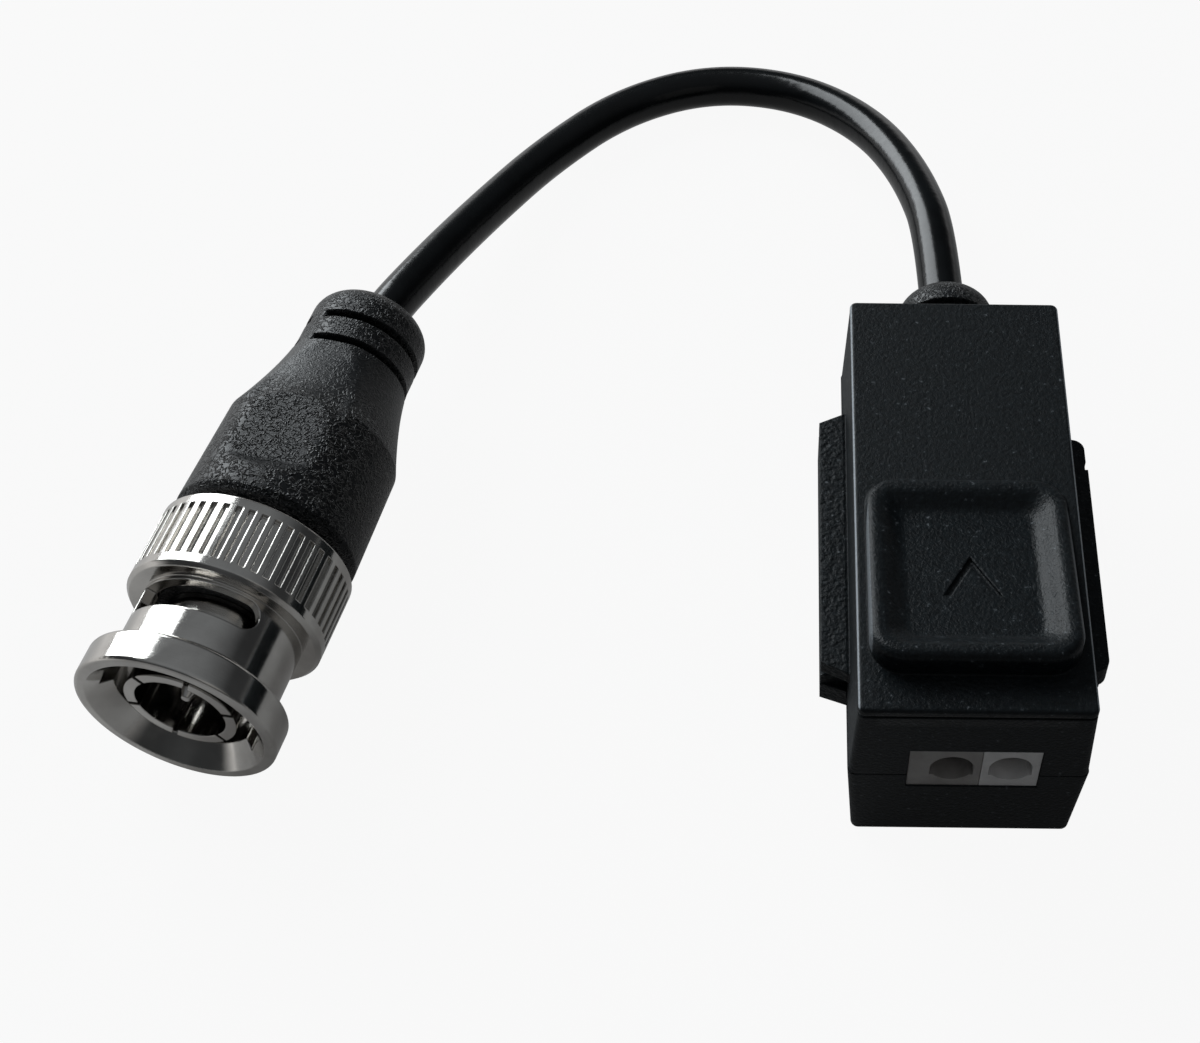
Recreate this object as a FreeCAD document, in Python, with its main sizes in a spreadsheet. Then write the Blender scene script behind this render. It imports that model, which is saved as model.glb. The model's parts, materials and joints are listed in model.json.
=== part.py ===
"""A passive video balun: a clip-together housing with a sliding cover over two spring terminals,
a short coaxial lead and a bayonet plug.

Millimetres. +X is to the right, +Y to the back where the lead leaves, +Z up. The origin lies on
the table, under the middle of the housing. The plug has a frame of its own: its axis is local +Y,
from the mouth (0) to the rear, and its placement turns it to where it lies on the table."""
import FreeCAD, Part
import math
import os
import re

import Sketcher
from FreeCAD import Placement, Rotation, Vector

# Driving sizes: name, value, what it is
SIZES = [
    # cuts
    ("past", 1.0, "how far a cut runs beyond a face"),
    ("hair", 0.002, "keeps two cuts from meeting in a tangent line"),
    # housing
    ("housing_length", 35.15, "front face to back face"),
    ("housing_height", 15.84, "table to the top of the cover plate"),
    ("base_width", 15.0, "width at the table"),
    ("waist_width", 15.95, "width at the joint line of the two shells"),
    ("top_width", 15.3, "width at the cover plate"),
    ("joint_height", 7.85, "height of the joint line"),
    ("joint_gap", 0.1, "open line between the two shells"),
    ("joint_step", 0.12, "how far the lower shell stands out at the joint line"),
    ("wall", 1.2, "wall of both shells"),
    ("base_floor", 1.4, "floor of the lower shell"),
    ("corner_radius", 0.5, "upright corners of the housing"),
    ("base_radius", 0.6, "edges round the underside"),
    ("rim_height", 0.8, "tongue of the lower shell inside the upper one"),
    ("rim_fit", 0.08, "clearance round that tongue"),
    # deck and well under the cover
    ("deck_thickness", 1.0, "floor of the well that the cover runs in"),
    ("well_depth", 1.9, "deck to the tops of the walls"),
    ("well_wall", 1.05, "wall round the well"),
    # sliding cover
    ("cover_lip", 0.6, "plate that covers the wall tops"),
    ("cover_gap", 0.25, "dark line under the plate"),
    ("cover_travel", 3.5, "how far the cover slides back"),
    ("cover_fit", 0.2, "clearance of the cover in its well"),
    ("cover_edge_radius", 0.25, "bright edge round the plate"),
    ("skirt_wall", 1.0, "ribs under the plate"),
    ("pad_ceiling", 14.2, "height of the hollow under the thumb pad"),
    ("rear_ceiling", 15.0, "height of the hollow behind the pad"),
    ("pad_front", 2.8, "front face to the front of the thumb pad"),
    ("pad_length", 15.9, "thumb pad, front to back"),
    ("pad_width", 13.8, "thumb pad, side to side"),
    ("pad_heel", 0.12, "height of the pad's rear edge above the plate"),
    ("pad_rise", 2.15, "height of the pad's front edge above the plate"),
    ("pad_radius", 2.3, "corners of the thumb pad"),
    ("pad_edge_radius", 0.55, "rounded rim of the thumb pad"),
    ("dish_depth", 0.95, "hollow of the thumb pad"),
    ("dish_rim", 0.75, "width of the rim round the hollow"),
    ("dish_slope", 1.9, "width of the rounded bank of the hollow"),
    ("arrow_width", 3.9, "arrow, side to side"),
    ("arrow_length", 3.5, "arrow, front to back"),
    ("arrow_tip", 12.2, "front face to the tip of the arrow"),
    ("arrow_stroke", 0.42, "width of the arrow's line"),
    ("arrow_depth", 0.25, "depth of the arrow's line"),
    ("hook_reach", 4.9, "middle of the housing to the inner side of a hook"),
    ("hook_leg", 0.9, "thickness of a hook's leg"),
    ("hook_barb", 0.5, "barb of a hook under the deck"),
    ("hook_length", 3.0, "hook, front to back"),
    ("hook_front", 11.5, "front face to the front pair of hooks"),
    ("hook_pitch", 11.0, "front pair to rear pair"),
    ("rib_front", 18.9, "front face to the cross rib under the cover"),
    ("rib_thickness", 1.5, "cross rib that the return spring pushes on"),
    # rails
    ("rail_span", 19.6, "over both side rails"),
    ("rail_base", 6.05, "underside of the rails"),
    ("rail_top", 10.5, "top of the left rail"),
    ("rail_slot_base", 8.9, "lower side of the slot in the left rail"),
    ("rail_slot", 0.5, "slot in the left rail"),
    ("rail_front", 7.05, "front face to the front of the rails"),
    ("rail_length", 20.85, "outer face of the left rail"),
    ("rail_slant", 1.05, "slanted ends of the left rail"),
    ("tongue_top", 9.8, "top of the right rail"),
    ("tongue_length", 17.3, "right rail up to its notch"),
    ("tongue_notch", 0.7, "notch of the right rail"),
    ("tongue_bump", 2.1, "rounded end of the right rail"),
    ("tongue_step", 0.22, "depth of that notch"),
    ("rail_clear", 0.12, "gap between a rail and the other shell"),
    # terminals
    ("window_left", -4.1, "left side of the terminal window"),
    ("window_height", 4.6, "terminal window"),
    ("terminal_fit", 0.05, "clearance of the terminals in the window"),
    ("terminal_inset", 0.12, "front face to the face of the terminals"),
    ("end_plate", 0.95, "plate that closes the terminal row"),
    ("module_width", 3.85, "one terminal"),
    ("module_length", 10.25, "one terminal, front to back"),
    ("module_side", 0.45, "side wall of a terminal"),
    ("module_front", 1.5, "front wall of a terminal"),
    ("module_shell", 0.55, "floor and roof of a terminal"),
    ("entry_width", 2.9, "wire entry"),
    ("entry_height", 2.3, "wire entry"),
    ("entry_base", 1.4, "underside of a terminal to the wire entry"),
    ("slot_front", 4.6, "front face to the release slot"),
    ("slot_length", 4.8, "release slot"),
    ("prong_inner", 0.95, "middle of a terminal to the inner side of a prong"),
    ("prong_width", 0.42, "release prong"),
    ("prong_front", 4.9, "front face to the release prongs"),
    ("prong_length", 0.8, "release prong, front to back"),
    ("prong_tip", 8.6, "height of the prongs' tips"),
    ("bar_thickness", 0.4, "contact bar"),
    ("bar_width", 2.4, "contact bar"),
    ("bar_front", 2.0, "front face to the contact bar"),
    ("bar_length", 7.4, "contact bar"),
    ("bar_pin", 0.6, "solder pin of a contact bar"),
    ("bar_pin_length", 1.9, "how far the pins reach below the terminal"),
    ("leaf_width", 2.6, "clamp spring"),
    ("leaf_thickness", 0.22, "clamp spring"),
    ("leaf_back", 9.3, "front face to the back of the clamp spring"),
    ("leaf_top", 10.1, "height of the clamp spring's bend"),
    ("leaf_bend", 0.66, "size of each bend of the clamp spring"),
    ("leaf_crown", 0.8, "level top of the clamp spring"),
    ("leaf_lean", 3.0, "how far the clamp spring leans to its tip"),
    # circuit board
    ("board_thickness", 1.0, "circuit board"),
    ("board_width", 12.7, "circuit board"),
    ("board_top", 6.3, "height of the board's upper face"),
    ("board_front", 1.5, "front face to the board"),
    ("board_rear", 2.65, "back face to the board"),
    ("post_width", 2.2, "post under the board"),
    ("post_length", 3.2, "post under the board, front to back"),
    # parts on the board
    ("core_radius", 4.3, "choke core outside"),
    ("core_bore", 2.3, "choke core inside"),
    ("core_height", 3.6, "choke core"),
    ("turn_wire", 0.4, "winding wire"),
    ("turn_fit", 0.04, "clearance between the core and its turns"),
    ("turn_spread", 17.0, "degrees from turn to turn"),
    ("surge_length", 4.2, "surge arrester"),
    ("surge_width", 2.6, "surge arrester"),
    ("surge_height", 2.1, "surge arrester"),
    ("chip_length", 2.0, "chip part"),
    ("chip_width", 1.25, "chip part"),
    ("chip_height", 0.85, "chip part"),
    ("chip_place", 12.6, "front face to the first row of chip parts"),
    # return spring
    ("coil_radius", 0.68, "return spring, middle of the wire"),
    ("coil_wire", 0.26, "return spring wire"),
    ("coil_turns", 7.0, "return spring"),
    ("stop_thickness", 0.9, "post on the deck behind the return spring"),
    # lead
    ("cable_diameter", 3.5, "lead"),
    ("cable_side", 0.2, "middle of the housing to the lead"),
    ("cable_height", 8.1, "height of the lead where it leaves the housing"),
    ("core_sleeve", 0.7, "radius of the lead's inner insulation"),
    ("core_strand", 0.24, "radius of the lead's inner conductor"),
    ("braid_tail", 0.44, "radius of the lead's twisted screen"),
    ("cable_tail", 4.6, "jacket inside the back face"),
    ("lead_rise", 5.0, "boot's end to the last corner of the lead's route"),
    ("relief_hole", 3.2, "radius of the hole in the back wall"),
    ("relief_fit", 0.1, "clearance of the relief in that hole"),
    ("relief_flange", 3.9, "radius of the flange inside the wall"),
    ("relief_flange_length", 1.0, "flange inside the wall"),
    ("relief_groove", 0.4, "open neck between the wall and the collar"),
    ("relief_radius", 3.8, "collar outside the wall"),
    ("relief_length", 8.2, "collar outside the wall"),
    ("relief_dome", 2.2, "rounded outer end of the collar"),
    ("relief_nose", 2.35, "radius of the collar's outer end"),
    ("relief_slot", 3.9, "start of the collar to its flex slot"),
    ("relief_sweep", 120.0, "degrees that the collar's flex slot runs round"),
    # plug
    ("plug_x", -53.53, "middle of the plug's mouth, across"),
    ("plug_y", -13.735, "middle of the plug's mouth, back"),
    ("plug_height", 7.22, "height of the plug's axis"),
    ("plug_turn", 13.67, "degrees between the plug's axis and +Y"),
    ("sleeve_radius", 7.2, "flange of the coupling sleeve"),
    ("sleeve_flange", 2.4, "flange of the coupling sleeve"),
    ("sleeve_cone", 0.7, "cone behind the flange"),
    ("sleeve_waist", 5.8, "radius of the smooth middle"),
    ("knurl_start", 8.0, "mouth to the knurled band"),
    ("knurl_radius", 7.15, "knurled band"),
    ("knurl_land", 1.0, "smooth band at each end of the knurl"),
    ("knurl_depth", 0.3, "knurl grooves"),
    ("knurl_count", 48.0, "knurl grooves"),
    ("sleeve_length", 14.4, "coupling sleeve"),
    ("mouth_radius", 6.4, "inner edge of the mouth"),
    ("mouth_cone", 1.5, "cone inside the mouth"),
    ("sleeve_bore", 4.98, "bore that the socket goes into"),
    ("step_place", 8.6, "mouth to the step inside the sleeve"),
    ("chamber_radius", 5.95, "chamber behind the step"),
    ("stud_groove_width", 2.3, "entry groove for a stud"),
    ("stud_groove_radius", 5.55, "depth of the entry grooves"),
    ("stud_groove_turn", 10.0, "degrees from level to the entry groove"),
    ("slot_width", 2.2, "bayonet slot"),
    ("slot_place", 6.6, "mouth to the middle of the bayonet slot"),
    ("slot_sweep", 90.0, "degrees that the bayonet slot runs round to its round end"),
    ("contact_radius", 4.025, "outer contact tube"),
    ("contact_bore", 3.25, "inside of the outer contact tube"),
    ("contact_inset", 0.9, "mouth to the tip of the contact tube"),
    ("contact_slit", 0.35, "slit between two contact fingers"),
    ("contact_slit_length", 5.2, "slit between two contact fingers"),
    ("contact_fingers", 6.0, "contact fingers"),
    ("body_flange_place", 8.7, "mouth to the body's flange"),
    ("body_flange", 1.3, "body's flange"),
    ("body_flange_radius", 5.7, "body's flange"),
    ("body_shaft", 4.4, "radius of the body behind its flange"),
    ("body_rear", 17.0, "mouth to the end of the body's shaft"),
    ("body_tail", 3.3, "radius of the body's tail"),
    ("body_tail_end", 21.0, "mouth to the end of the body's tail"),
    ("gasket_seat_radius", 3.6, "contact tube under the gasket"),
    ("insulator_face", 6.0, "mouth to the insulator's face"),
    ("insulator_boss", 1.6, "radius of the insulator's boss"),
    ("insulator_boss_length", 0.8, "insulator's boss"),
    ("centre_pin_radius", 0.675, "centre pin"),
    ("centre_pin_nose", 0.3, "radius of the centre pin's blunt end"),
    ("pin_shank_radius", 0.95, "centre pin inside the insulator"),
    ("centre_pin_tip", 1.75, "mouth to the tip of the centre pin"),
    ("centre_pin_end", 19.0, "mouth to the rear end of the centre pin"),
    ("gasket_radius", 4.75, "gasket round the contact tube"),
    ("gasket_length", 0.75, "gasket round the contact tube"),
    ("wave_height", 1.1, "wave washer at rest"),
    ("wave_thickness", 0.22, "wave washer"),
    ("wave_bore", 4.55, "wave washer inside"),
    ("wave_radius", 5.65, "wave washer outside"),
    ("washer_thickness", 0.5, "thrust washer"),
    ("washer_fit", 0.05, "clearance on both sides of the thrust washer"),
    ("ring_thickness", 0.6, "retaining ring"),
    ("ring_bore", 4.75, "retaining ring inside"),
    ("ring_radius", 6.3, "retaining ring outside"),
    ("ferrule_radius", 3.9, "crimp ferrule"),
    ("ferrule_neck", 2.62, "radius of the crimped neck"),
    ("ferrule_shoulder", 2.0, "cone between the ferrule and its neck"),
    ("ferrule_end", 33.9, "mouth to the end of the crimp ferrule"),
    ("insulator_fit", 0.02, "clearance of pressed pieces inside the plug"),
    ("insulator_step", 12.0, "mouth to the step of the insulator"),
    ("tail_bore", 2.0, "bore of the body's tail"),
    ("sleeve_roll", 35.0, "degrees that the sleeve is turned on its axis"),
    ("slit_turn", 10.0, "degrees from level to the first slit of the contact tube"),
    ("boot_roll", 0.0, "degrees that the boot is turned on its axis"),
    ("boot_blend_radius", 3.0, "hollow blend between the boot's cone and tail"),
    ("ring_gap", 2.6, "opening of the retaining ring"),
    # boot
    ("boot_start", 15.2, "mouth to the front of the boot"),
    ("boot_radius", 6.85, "barrel of the boot"),
    ("boot_neck", 6.5, "radius at the boot's front edge"),
    ("boot_corner_radius", 6.62, "radius at the boot's crisp corner"),
    ("boot_barrel_end", 25.3, "mouth to the boot's crisp corner"),
    ("boot_tail_start", 32.6, "mouth to the boot's straight tail"),
    ("boot_tail_radius", 4.6, "boot's tail"),
    ("boot_end", 39.8, "mouth to the rear of the boot"),
    ("boot_end_radius", 2.3, "rounding of the boot's rear edge"),
    ("grip_depth", 0.93, "flat grips on the boot"),
    ("grip_edge", 0.05, "step at the front of a grip"),
    ("grip_ramp", 1.85, "slanting front of a grip"),
    ("grip_start", 17.0, "mouth to the grips"),
    ("grip_end", 24.85, "mouth to the rear of the level part of the grips"),
    ("grip_fade", 30.2, "mouth to where the slanting rear of a grip meets the tail's level"),
    ("flex_width", 0.65, "flex slot"),
    ("flex_depth", 0.75, "flex slot"),
    ("flex_first", 31.35, "mouth to the first row of flex slots"),
    ("flex_pitch", 2.5, "one row of flex slots to the next"),
    ("flex_sweep", 157.0, "degrees that a flex slot runs round"),
    ("flex_turn", 37.0, "degrees from level to the middle of a flex slot"),
]

doc = FreeCAD.newDocument("balun")
sheet = doc.addObject("Spreadsheet::Sheet", "Sizes")
for row, (alias, number, meaning) in enumerate(SIZES, start=1):
    sheet.set(f"A{row}", alias)
    sheet.set(f"B{row}", str(number))
    sheet.set(f"C{row}", meaning)
    sheet.setAlias(f"B{row}", alias)
doc.recompute()
ALIASES = {alias for alias, number, meaning in SIZES}
PIECES = []

# Places that many pieces share
FRONT = "(-housing_length / 2)"
BACK = "(housing_length / 2)"
WALL_TOP = "(housing_height - cover_lip - cover_gap)"
DECK_TOP = "(housing_height - cover_lip - cover_gap - well_depth)"
DECK_BASE = "(housing_height - cover_lip - cover_gap - well_depth - deck_thickness)"
WINDOW_TOP = "(board_top + window_height)"
SKIRT_BASE = f"({DECK_TOP} + cover_fit)"
LIP_BASE = "(housing_height - cover_lip)"
RIB_BACK = "(rib_front + rib_thickness)"
RAIL_FRONT = "(rail_front - housing_length / 2)"
RAIL_REACH = "(rail_span / 2)"
TERMINAL_PITCH = "(module_width + terminal_fit)"
WINDOW_RIGHT = f"(window_left + 2 * terminal_fit + end_plate + {TERMINAL_PITCH} + module_width)"
CHIP_REAR = f"({FRONT} + chip_place + chip_length / 2)"
KNEE_PLACE = f"({BACK} - cable_tail - 4 * core_sleeve)"
CORE_PLACE = f"(({CHIP_REAR} + {KNEE_PLACE} - core_sleeve) / 2)"
SKIRT_BACK = f"({BACK} - well_wall - cover_fit - cover_travel)"
STOP_BACK = f"({SKIRT_BACK} - skirt_wall - cover_fit / 2)"
COIL_LENGTH = f"({STOP_BACK} - stop_thickness - {FRONT} - {RIB_BACK})"
CABLE_HOLE = ("cable_side", "cable_height", "relief_hole")
FLANGE_END = "(body_flange_place + body_flange)"
WASHER_PLACE = f"({FLANGE_END} + wave_height + washer_fit)"
RING_PLACE = f"({WASHER_PLACE} + washer_thickness + 2 * washer_fit)"


def bind(text):
    """The expression with every size name pointed at the sheet."""
    def cell(word):
        return "Sizes." + word.group(0) if word.group(0) in ALIASES else word.group(0)
    return re.sub(r"[A-Za-z_]\w*", cell, str(text))


def value(text):
    """The number that an expression has now."""
    found = sheet.evalExpression(bind(text))
    return float(getattr(found, "Value", found))


def keep(piece, name):
    """Marks an object as one of the parts that are written out."""
    piece.Label = name
    PIECES.append(piece)
    return piece


def new_body(name):
    return keep(doc.addObject("PartDesign::Body", name), name)


def origin_feature(body, role):
    return [item for item in body.Origin.OriginFeatures if item.Role == role][0]


NORMAL_SIGN = {"XY": 1, "XZ": -1, "YZ": 1}


def new_sketch(body, plane, at="0"):
    """A sketch across the world axis that the plane's name leaves out, at that coordinate."""
    drawing = body.newObject("Sketcher::SketchObject", body.Name + "_sketch")
    drawing.AttachmentSupport = [(origin_feature(body, plane + "_Plane"), "")]
    drawing.MapMode = "FlatFace"
    drawing.setExpression("AttachmentOffset.Base.z", bind(f"{NORMAL_SIGN[plane]} * ({at})"))
    return drawing


def pin_point(drawing, item, end, across, up):
    """Fixes one point of the drawing by two expressions."""
    for kind, text in (("DistanceX", across), ("DistanceY", up)):
        index = drawing.addConstraint(Sketcher.Constraint(kind, -1, 1, item, end, value(text)))
        drawing.setExpression(f"Constraints[{index}]", bind(text))


def draw_outline(drawing, corners):
    """A closed run of straight lines through corners given as pairs of expressions."""
    points = [Vector(value(across), value(up), 0) for across, up in corners]
    first = drawing.GeometryCount
    count = len(points)
    for index in range(count):
        drawing.addGeometry(Part.LineSegment(points[index], points[(index + 1) % count]), False)
    for index in range(count):
        following = first + (index + 1) % count
        drawing.addConstraint(Sketcher.Constraint("Coincident", first + index, 2, following, 1))
    for index, (across, up) in enumerate(corners):
        pin_point(drawing, first + index, 1, across, up)


def draw_circle(drawing, across, up, radius):
    centre = Vector(value(across), value(up), 0)
    item = drawing.addGeometry(Part.Circle(centre, Vector(0, 0, 1), value(radius)), False)
    pin_point(drawing, item, 3, across, up)
    index = drawing.addConstraint(Sketcher.Constraint("Radius", item, value(radius)))
    drawing.setExpression(f"Constraints[{index}]", bind(radius))


def span(low_across, high_across, low_up, high_up):
    """The four corners of an upright rectangle."""
    return [(low_across, low_up), (high_across, low_up), (high_across, high_up), (low_across, high_up)]


def extrude(kind, body, plane, start, length, outlines, circles=()):
    drawing = new_sketch(body, plane, start)
    for corners in outlines:
        draw_outline(drawing, corners)
    for across, up, radius in circles:
        draw_circle(drawing, across, up, radius)
    feature = body.newObject("PartDesign::" + kind, body.Name + "_" + kind.lower())
    feature.Profile = drawing
    feature.setExpression("Length", bind(length))
    backwards = plane == "XZ" if kind == "Pad" else plane != "XZ"
    feature.Reversed = backwards
    drawing.Visibility = False
    return feature


def grow(body, plane, start, length, outlines=(), circles=()):
    """Adds a prism from a coordinate along the world axis, by a length."""
    return extrude("Pad", body, plane, start, length, outlines, circles)


def carve(body, plane, start, length, outlines=(), circles=()):
    """Cuts a prism from a coordinate along the world axis, by a length."""
    return extrude("Pocket", body, plane, start, length, outlines, circles)


def revolve(kind, body, corners, angle="360", plane="XY", axis="V_Axis"):
    drawing = new_sketch(body, plane)
    draw_outline(drawing, corners)
    feature = body.newObject("PartDesign::" + kind, body.Name + "_" + kind.lower())
    feature.Profile = drawing
    feature.ReferenceAxis = (drawing, [axis])
    feature.setExpression("Angle", bind(angle))
    feature.Midplane = value(angle) < 360
    drawing.Visibility = False
    return feature


def turn(body, corners, angle="360"):
    """Adds the solid that a profile of (radius, place along the axis) sweeps about local Y."""
    return revolve("Revolution", body, corners, angle)


def groove(body, corners, angle="360", plane="XY"):
    """Cuts the same kind of solid."""
    return revolve("Groove", body, corners, angle, plane)


def repeat_round(body, features, count):
    """Repeats features evenly about local Y."""
    pattern = body.newObject("PartDesign::PolarPattern", body.Name + "_pattern")
    pattern.Originals = features
    pattern.Axis = (origin_feature(body, "Y_Axis"), [""])
    pattern.Angle = 360
    pattern.Occurrences = int(round(value(count)))
    body.Tip = pattern
    return pattern


def edges_where(shape, wanted):
    """Names of the edges whose middle point and direction pass a test."""
    names = []
    for index, edge in enumerate(shape.Edges, start=1):
        middle = edge.valueAt((edge.FirstParameter + edge.LastParameter) / 2)
        ends = edge.Vertexes
        run = ends[-1].Point - ends[0].Point if len(ends) > 1 else Vector(0, 0, 0)
        if wanted(middle, run):
            names.append(f"Edge{index}")
    return names


def soften(kind, body, size, wanted):
    """Rounds or bevels the chosen edges of a body's last feature."""
    doc.recompute()
    tip = body.Tip
    names = edges_where(tip.Shape, wanted)
    if not names:
        raise RuntimeError(f"{body.Name}: no edge to soften")
    feature = body.newObject("PartDesign::" + kind, body.Name + "_" + kind.lower())
    feature.Base = (tip, names)
    feature.setExpression("Radius" if kind == "Fillet" else "Size", bind(size))
    return feature


def near(first, second, slack=0.02):
    return abs(first - second) < slack


def upright(run):
    return abs(run.z) > abs(run.x) + abs(run.y)


def housing_section(low, high, low_width, high_width, inset="0"):
    """Corners, in X and Z, of a slice through the housing that widens or narrows evenly."""
    low_half = f"({low_width} / 2 - {inset})"
    high_half = f"({high_width} / 2 - {inset})"
    return [(f"-{low_half}", low), (low_half, low), (high_half, high), (f"-{high_half}", high)]


def housing_corner(middle, run):
    """True for the four upright corner edges of a shell."""
    return upright(run) and near(abs(middle.y), value("housing_length / 2"))


def left_rail(root):
    """Corners, in X and Y, of the left rail: a long side and two slanted ends."""
    back = f"({RAIL_FRONT} + rail_length)"
    return [(f"-{root}", f"{RAIL_FRONT} - rail_slant"), (f"-{root}", f"{back} + rail_slant"),
            (f"-{RAIL_REACH}", back), (f"-{RAIL_REACH}", RAIL_FRONT)]


def lower_shell():
    body = new_body("lower_shell")
    top = "(joint_height - joint_gap / 2)"
    rim_top = f"({top} + rim_height)"
    grow(body, "XZ", FRONT, "housing_length",
         [housing_section("0", top, "base_width", "(waist_width + joint_step)")])
    soften("Fillet", body, "corner_radius", housing_corner)
    soften("Fillet", body, "base_radius", lambda middle, run: near(middle.z, 0))
    rim_half = "(waist_width / 2 - wall / 2 - rim_fit)"
    rim = span(f"-{rim_half}", rim_half, f"{FRONT} + wall / 2 + rim_fit", f"{BACK} - wall / 2 - rim_fit")
    grow(body, "XY", f"{top} - wall", "wall + rim_height", [rim])
    hollow = housing_section("base_floor", f"{rim_top} + past", "base_width", "waist_width", "wall")
    carve(body, "XZ", f"{FRONT} + wall", "housing_length - 2 * wall", [hollow])

    board_base = "(board_top - board_thickness)"
    post_in = "(board_width / 2 - post_width)"
    post_out = "(base_width / 2 - wall / 2)"
    post_places = (f"({FRONT} + board_front)", f"({BACK} - board_rear - post_length)")
    grow(body, "XY", "base_floor / 2", f"{board_base} - base_floor / 2", [
        span(f"{side}{low}", f"{side}{high}", place, f"{place} + post_length")
        for side, low, high in (("-", post_out, post_in), ("", post_in, post_out))
        for place in post_places])
    window = span("window_left", WINDOW_RIGHT, "board_top", f"{rim_top} + past")
    carve(body, "XZ", f"{FRONT} - past", "wall + 2 * past", [window])
    carve(body, "XZ", f"{BACK} - wall - past", "wall + 2 * past", circles=[CABLE_HOLE])

    root = "(base_width / 2 - wall / 2)"
    grow(body, "XY", "rail_base", f"{top} - rail_base", [left_rail(root)])
    lip_base = f"({top} - wall)"
    lip_inside = "-(waist_width / 2 + rail_clear)"
    left_lip = span(f"-{RAIL_REACH}", lip_inside, RAIL_FRONT, f"{RAIL_FRONT} + rail_length")
    grow(body, "XY", lip_base, f"rail_slot_base - {lip_base}", [left_lip])
    tongue_end = f"({RAIL_FRONT} + tongue_length + tongue_notch + tongue_bump)"
    tongue_start = f"({RAIL_FRONT} + rail_slant)"
    right_rail = [(root, tongue_start), (f"{RAIL_REACH} - tongue_step", tongue_start),
                  (f"{RAIL_REACH} - tongue_step", tongue_end), (root, f"{tongue_end} + 2 * rail_slant")]
    grow(body, "XY", "rail_base", f"{top} - rail_base", [right_rail])


def upper_shell():
    body = new_body("upper_shell")
    base = "(joint_height + joint_gap / 2)"
    grow(body, "XZ", FRONT, "housing_length",
         [housing_section(base, WALL_TOP, "waist_width", "top_width")])
    soften("Fillet", body, "corner_radius", housing_corner)
    hollow = housing_section(f"{base} - past", DECK_BASE, "waist_width", "top_width", "wall")
    carve(body, "XZ", f"{FRONT} + wall", "housing_length - 2 * wall", [hollow])
    rim_half = "(waist_width / 2 - wall / 2)"
    rim = span(f"-{rim_half}", rim_half, f"{FRONT} + wall / 2", f"{BACK} - wall / 2")
    carve(body, "XY", f"{base} - past", "past + rim_height + rim_fit", [rim])
    well_half = "(top_width / 2 - well_wall)"
    well = span(f"-{well_half}", well_half, f"{FRONT} + well_wall", f"{BACK} - well_wall")
    carve(body, "XY", DECK_TOP, "well_depth + past", [well])
    window = span("window_left", WINDOW_RIGHT, f"{base} - past", WINDOW_TOP)
    carve(body, "XZ", f"{FRONT} - past", "wall + 2 * past", [window])
    carve(body, "XZ", f"{BACK} - wall - past", "wall + 2 * past", circles=[CABLE_HOLE])

    openings = []
    for index in (0, 1):
        centre = module_centre(index)
        half = "(prong_inner + prong_width + cover_fit)"
        openings.append(span(f"{centre} - {half}", f"{centre} + {half}", f"{FRONT} + slot_front",
                             f"{FRONT} + slot_front + slot_length"))
    slot_half = "(hook_reach - cover_fit)"
    slot_out = "(hook_reach + hook_leg + cover_fit)"
    for index in (0, 1):
        start = f"({FRONT} + hook_front + {index} * hook_pitch)"
        for side, low, high in (("-", slot_out, slot_half), ("", slot_half, slot_out)):
            openings.append(span(f"{side}{low}", f"{side}{high}", f"{start} - cover_fit",
                                 f"{start} + hook_length + cover_travel + cover_fit"))
    carve(body, "XY", f"{DECK_BASE} - past", "deck_thickness + 2 * past", openings)

    stop_front = f"({STOP_BACK} - stop_thickness)"
    stop_half = "(2 * coil_radius)"
    grow(body, "XY", f"{DECK_TOP} - deck_thickness / 2", "deck_thickness / 2 + well_depth - cover_fit",
         [span(f"-{stop_half}", stop_half, stop_front, STOP_BACK)])

    rib_base = f"({WINDOW_TOP} + terminal_fit)"
    rib = span("window_left", WINDOW_RIGHT, f"{FRONT} + wall / 2", f"{FRONT} + 1.5 * wall")
    grow(body, "XY", rib_base, f"{DECK_BASE} + deck_thickness / 2 - {rib_base}", [rib])

    root = "(top_width / 2)"
    slab_base = "(rail_slot_base + rail_slot)"
    grow(body, "XY", slab_base, f"rail_top - {slab_base}", [left_rail(root)])
    notch_front = f"({RAIL_FRONT} + tongue_length)"
    bump_front = f"({notch_front} + tongue_notch)"
    bump_back = f"({bump_front} + tongue_bump)"
    notch_depth = f"({RAIL_REACH} - tongue_step)"
    bump_top = f"({RAIL_REACH} - tongue_step / 2)"
    right_rail = [(root, RAIL_FRONT), (RAIL_REACH, RAIL_FRONT), (RAIL_REACH, notch_front),
                  (notch_depth, notch_front), (notch_depth, bump_front), (bump_top, bump_front),
                  (bump_top, bump_back), (root, bump_back)]
    grow(body, "XY", base, f"tongue_top - {base}", [right_rail])
    rounded = [value(RAIL_FRONT), value(bump_back)]
    outside = value(notch_depth)
    soften("Fillet", body, "(rail_span - waist_width) / 4", lambda middle, run: middle.x > outside
           and upright(run) and any(near(middle.y, place) for place in rounded))


def module_left(index):
    return f"(window_left + terminal_fit + end_plate + {index} * {TERMINAL_PITCH})"


def module_centre(index):
    return f"({module_left(index)} + module_width / 2)"


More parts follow.
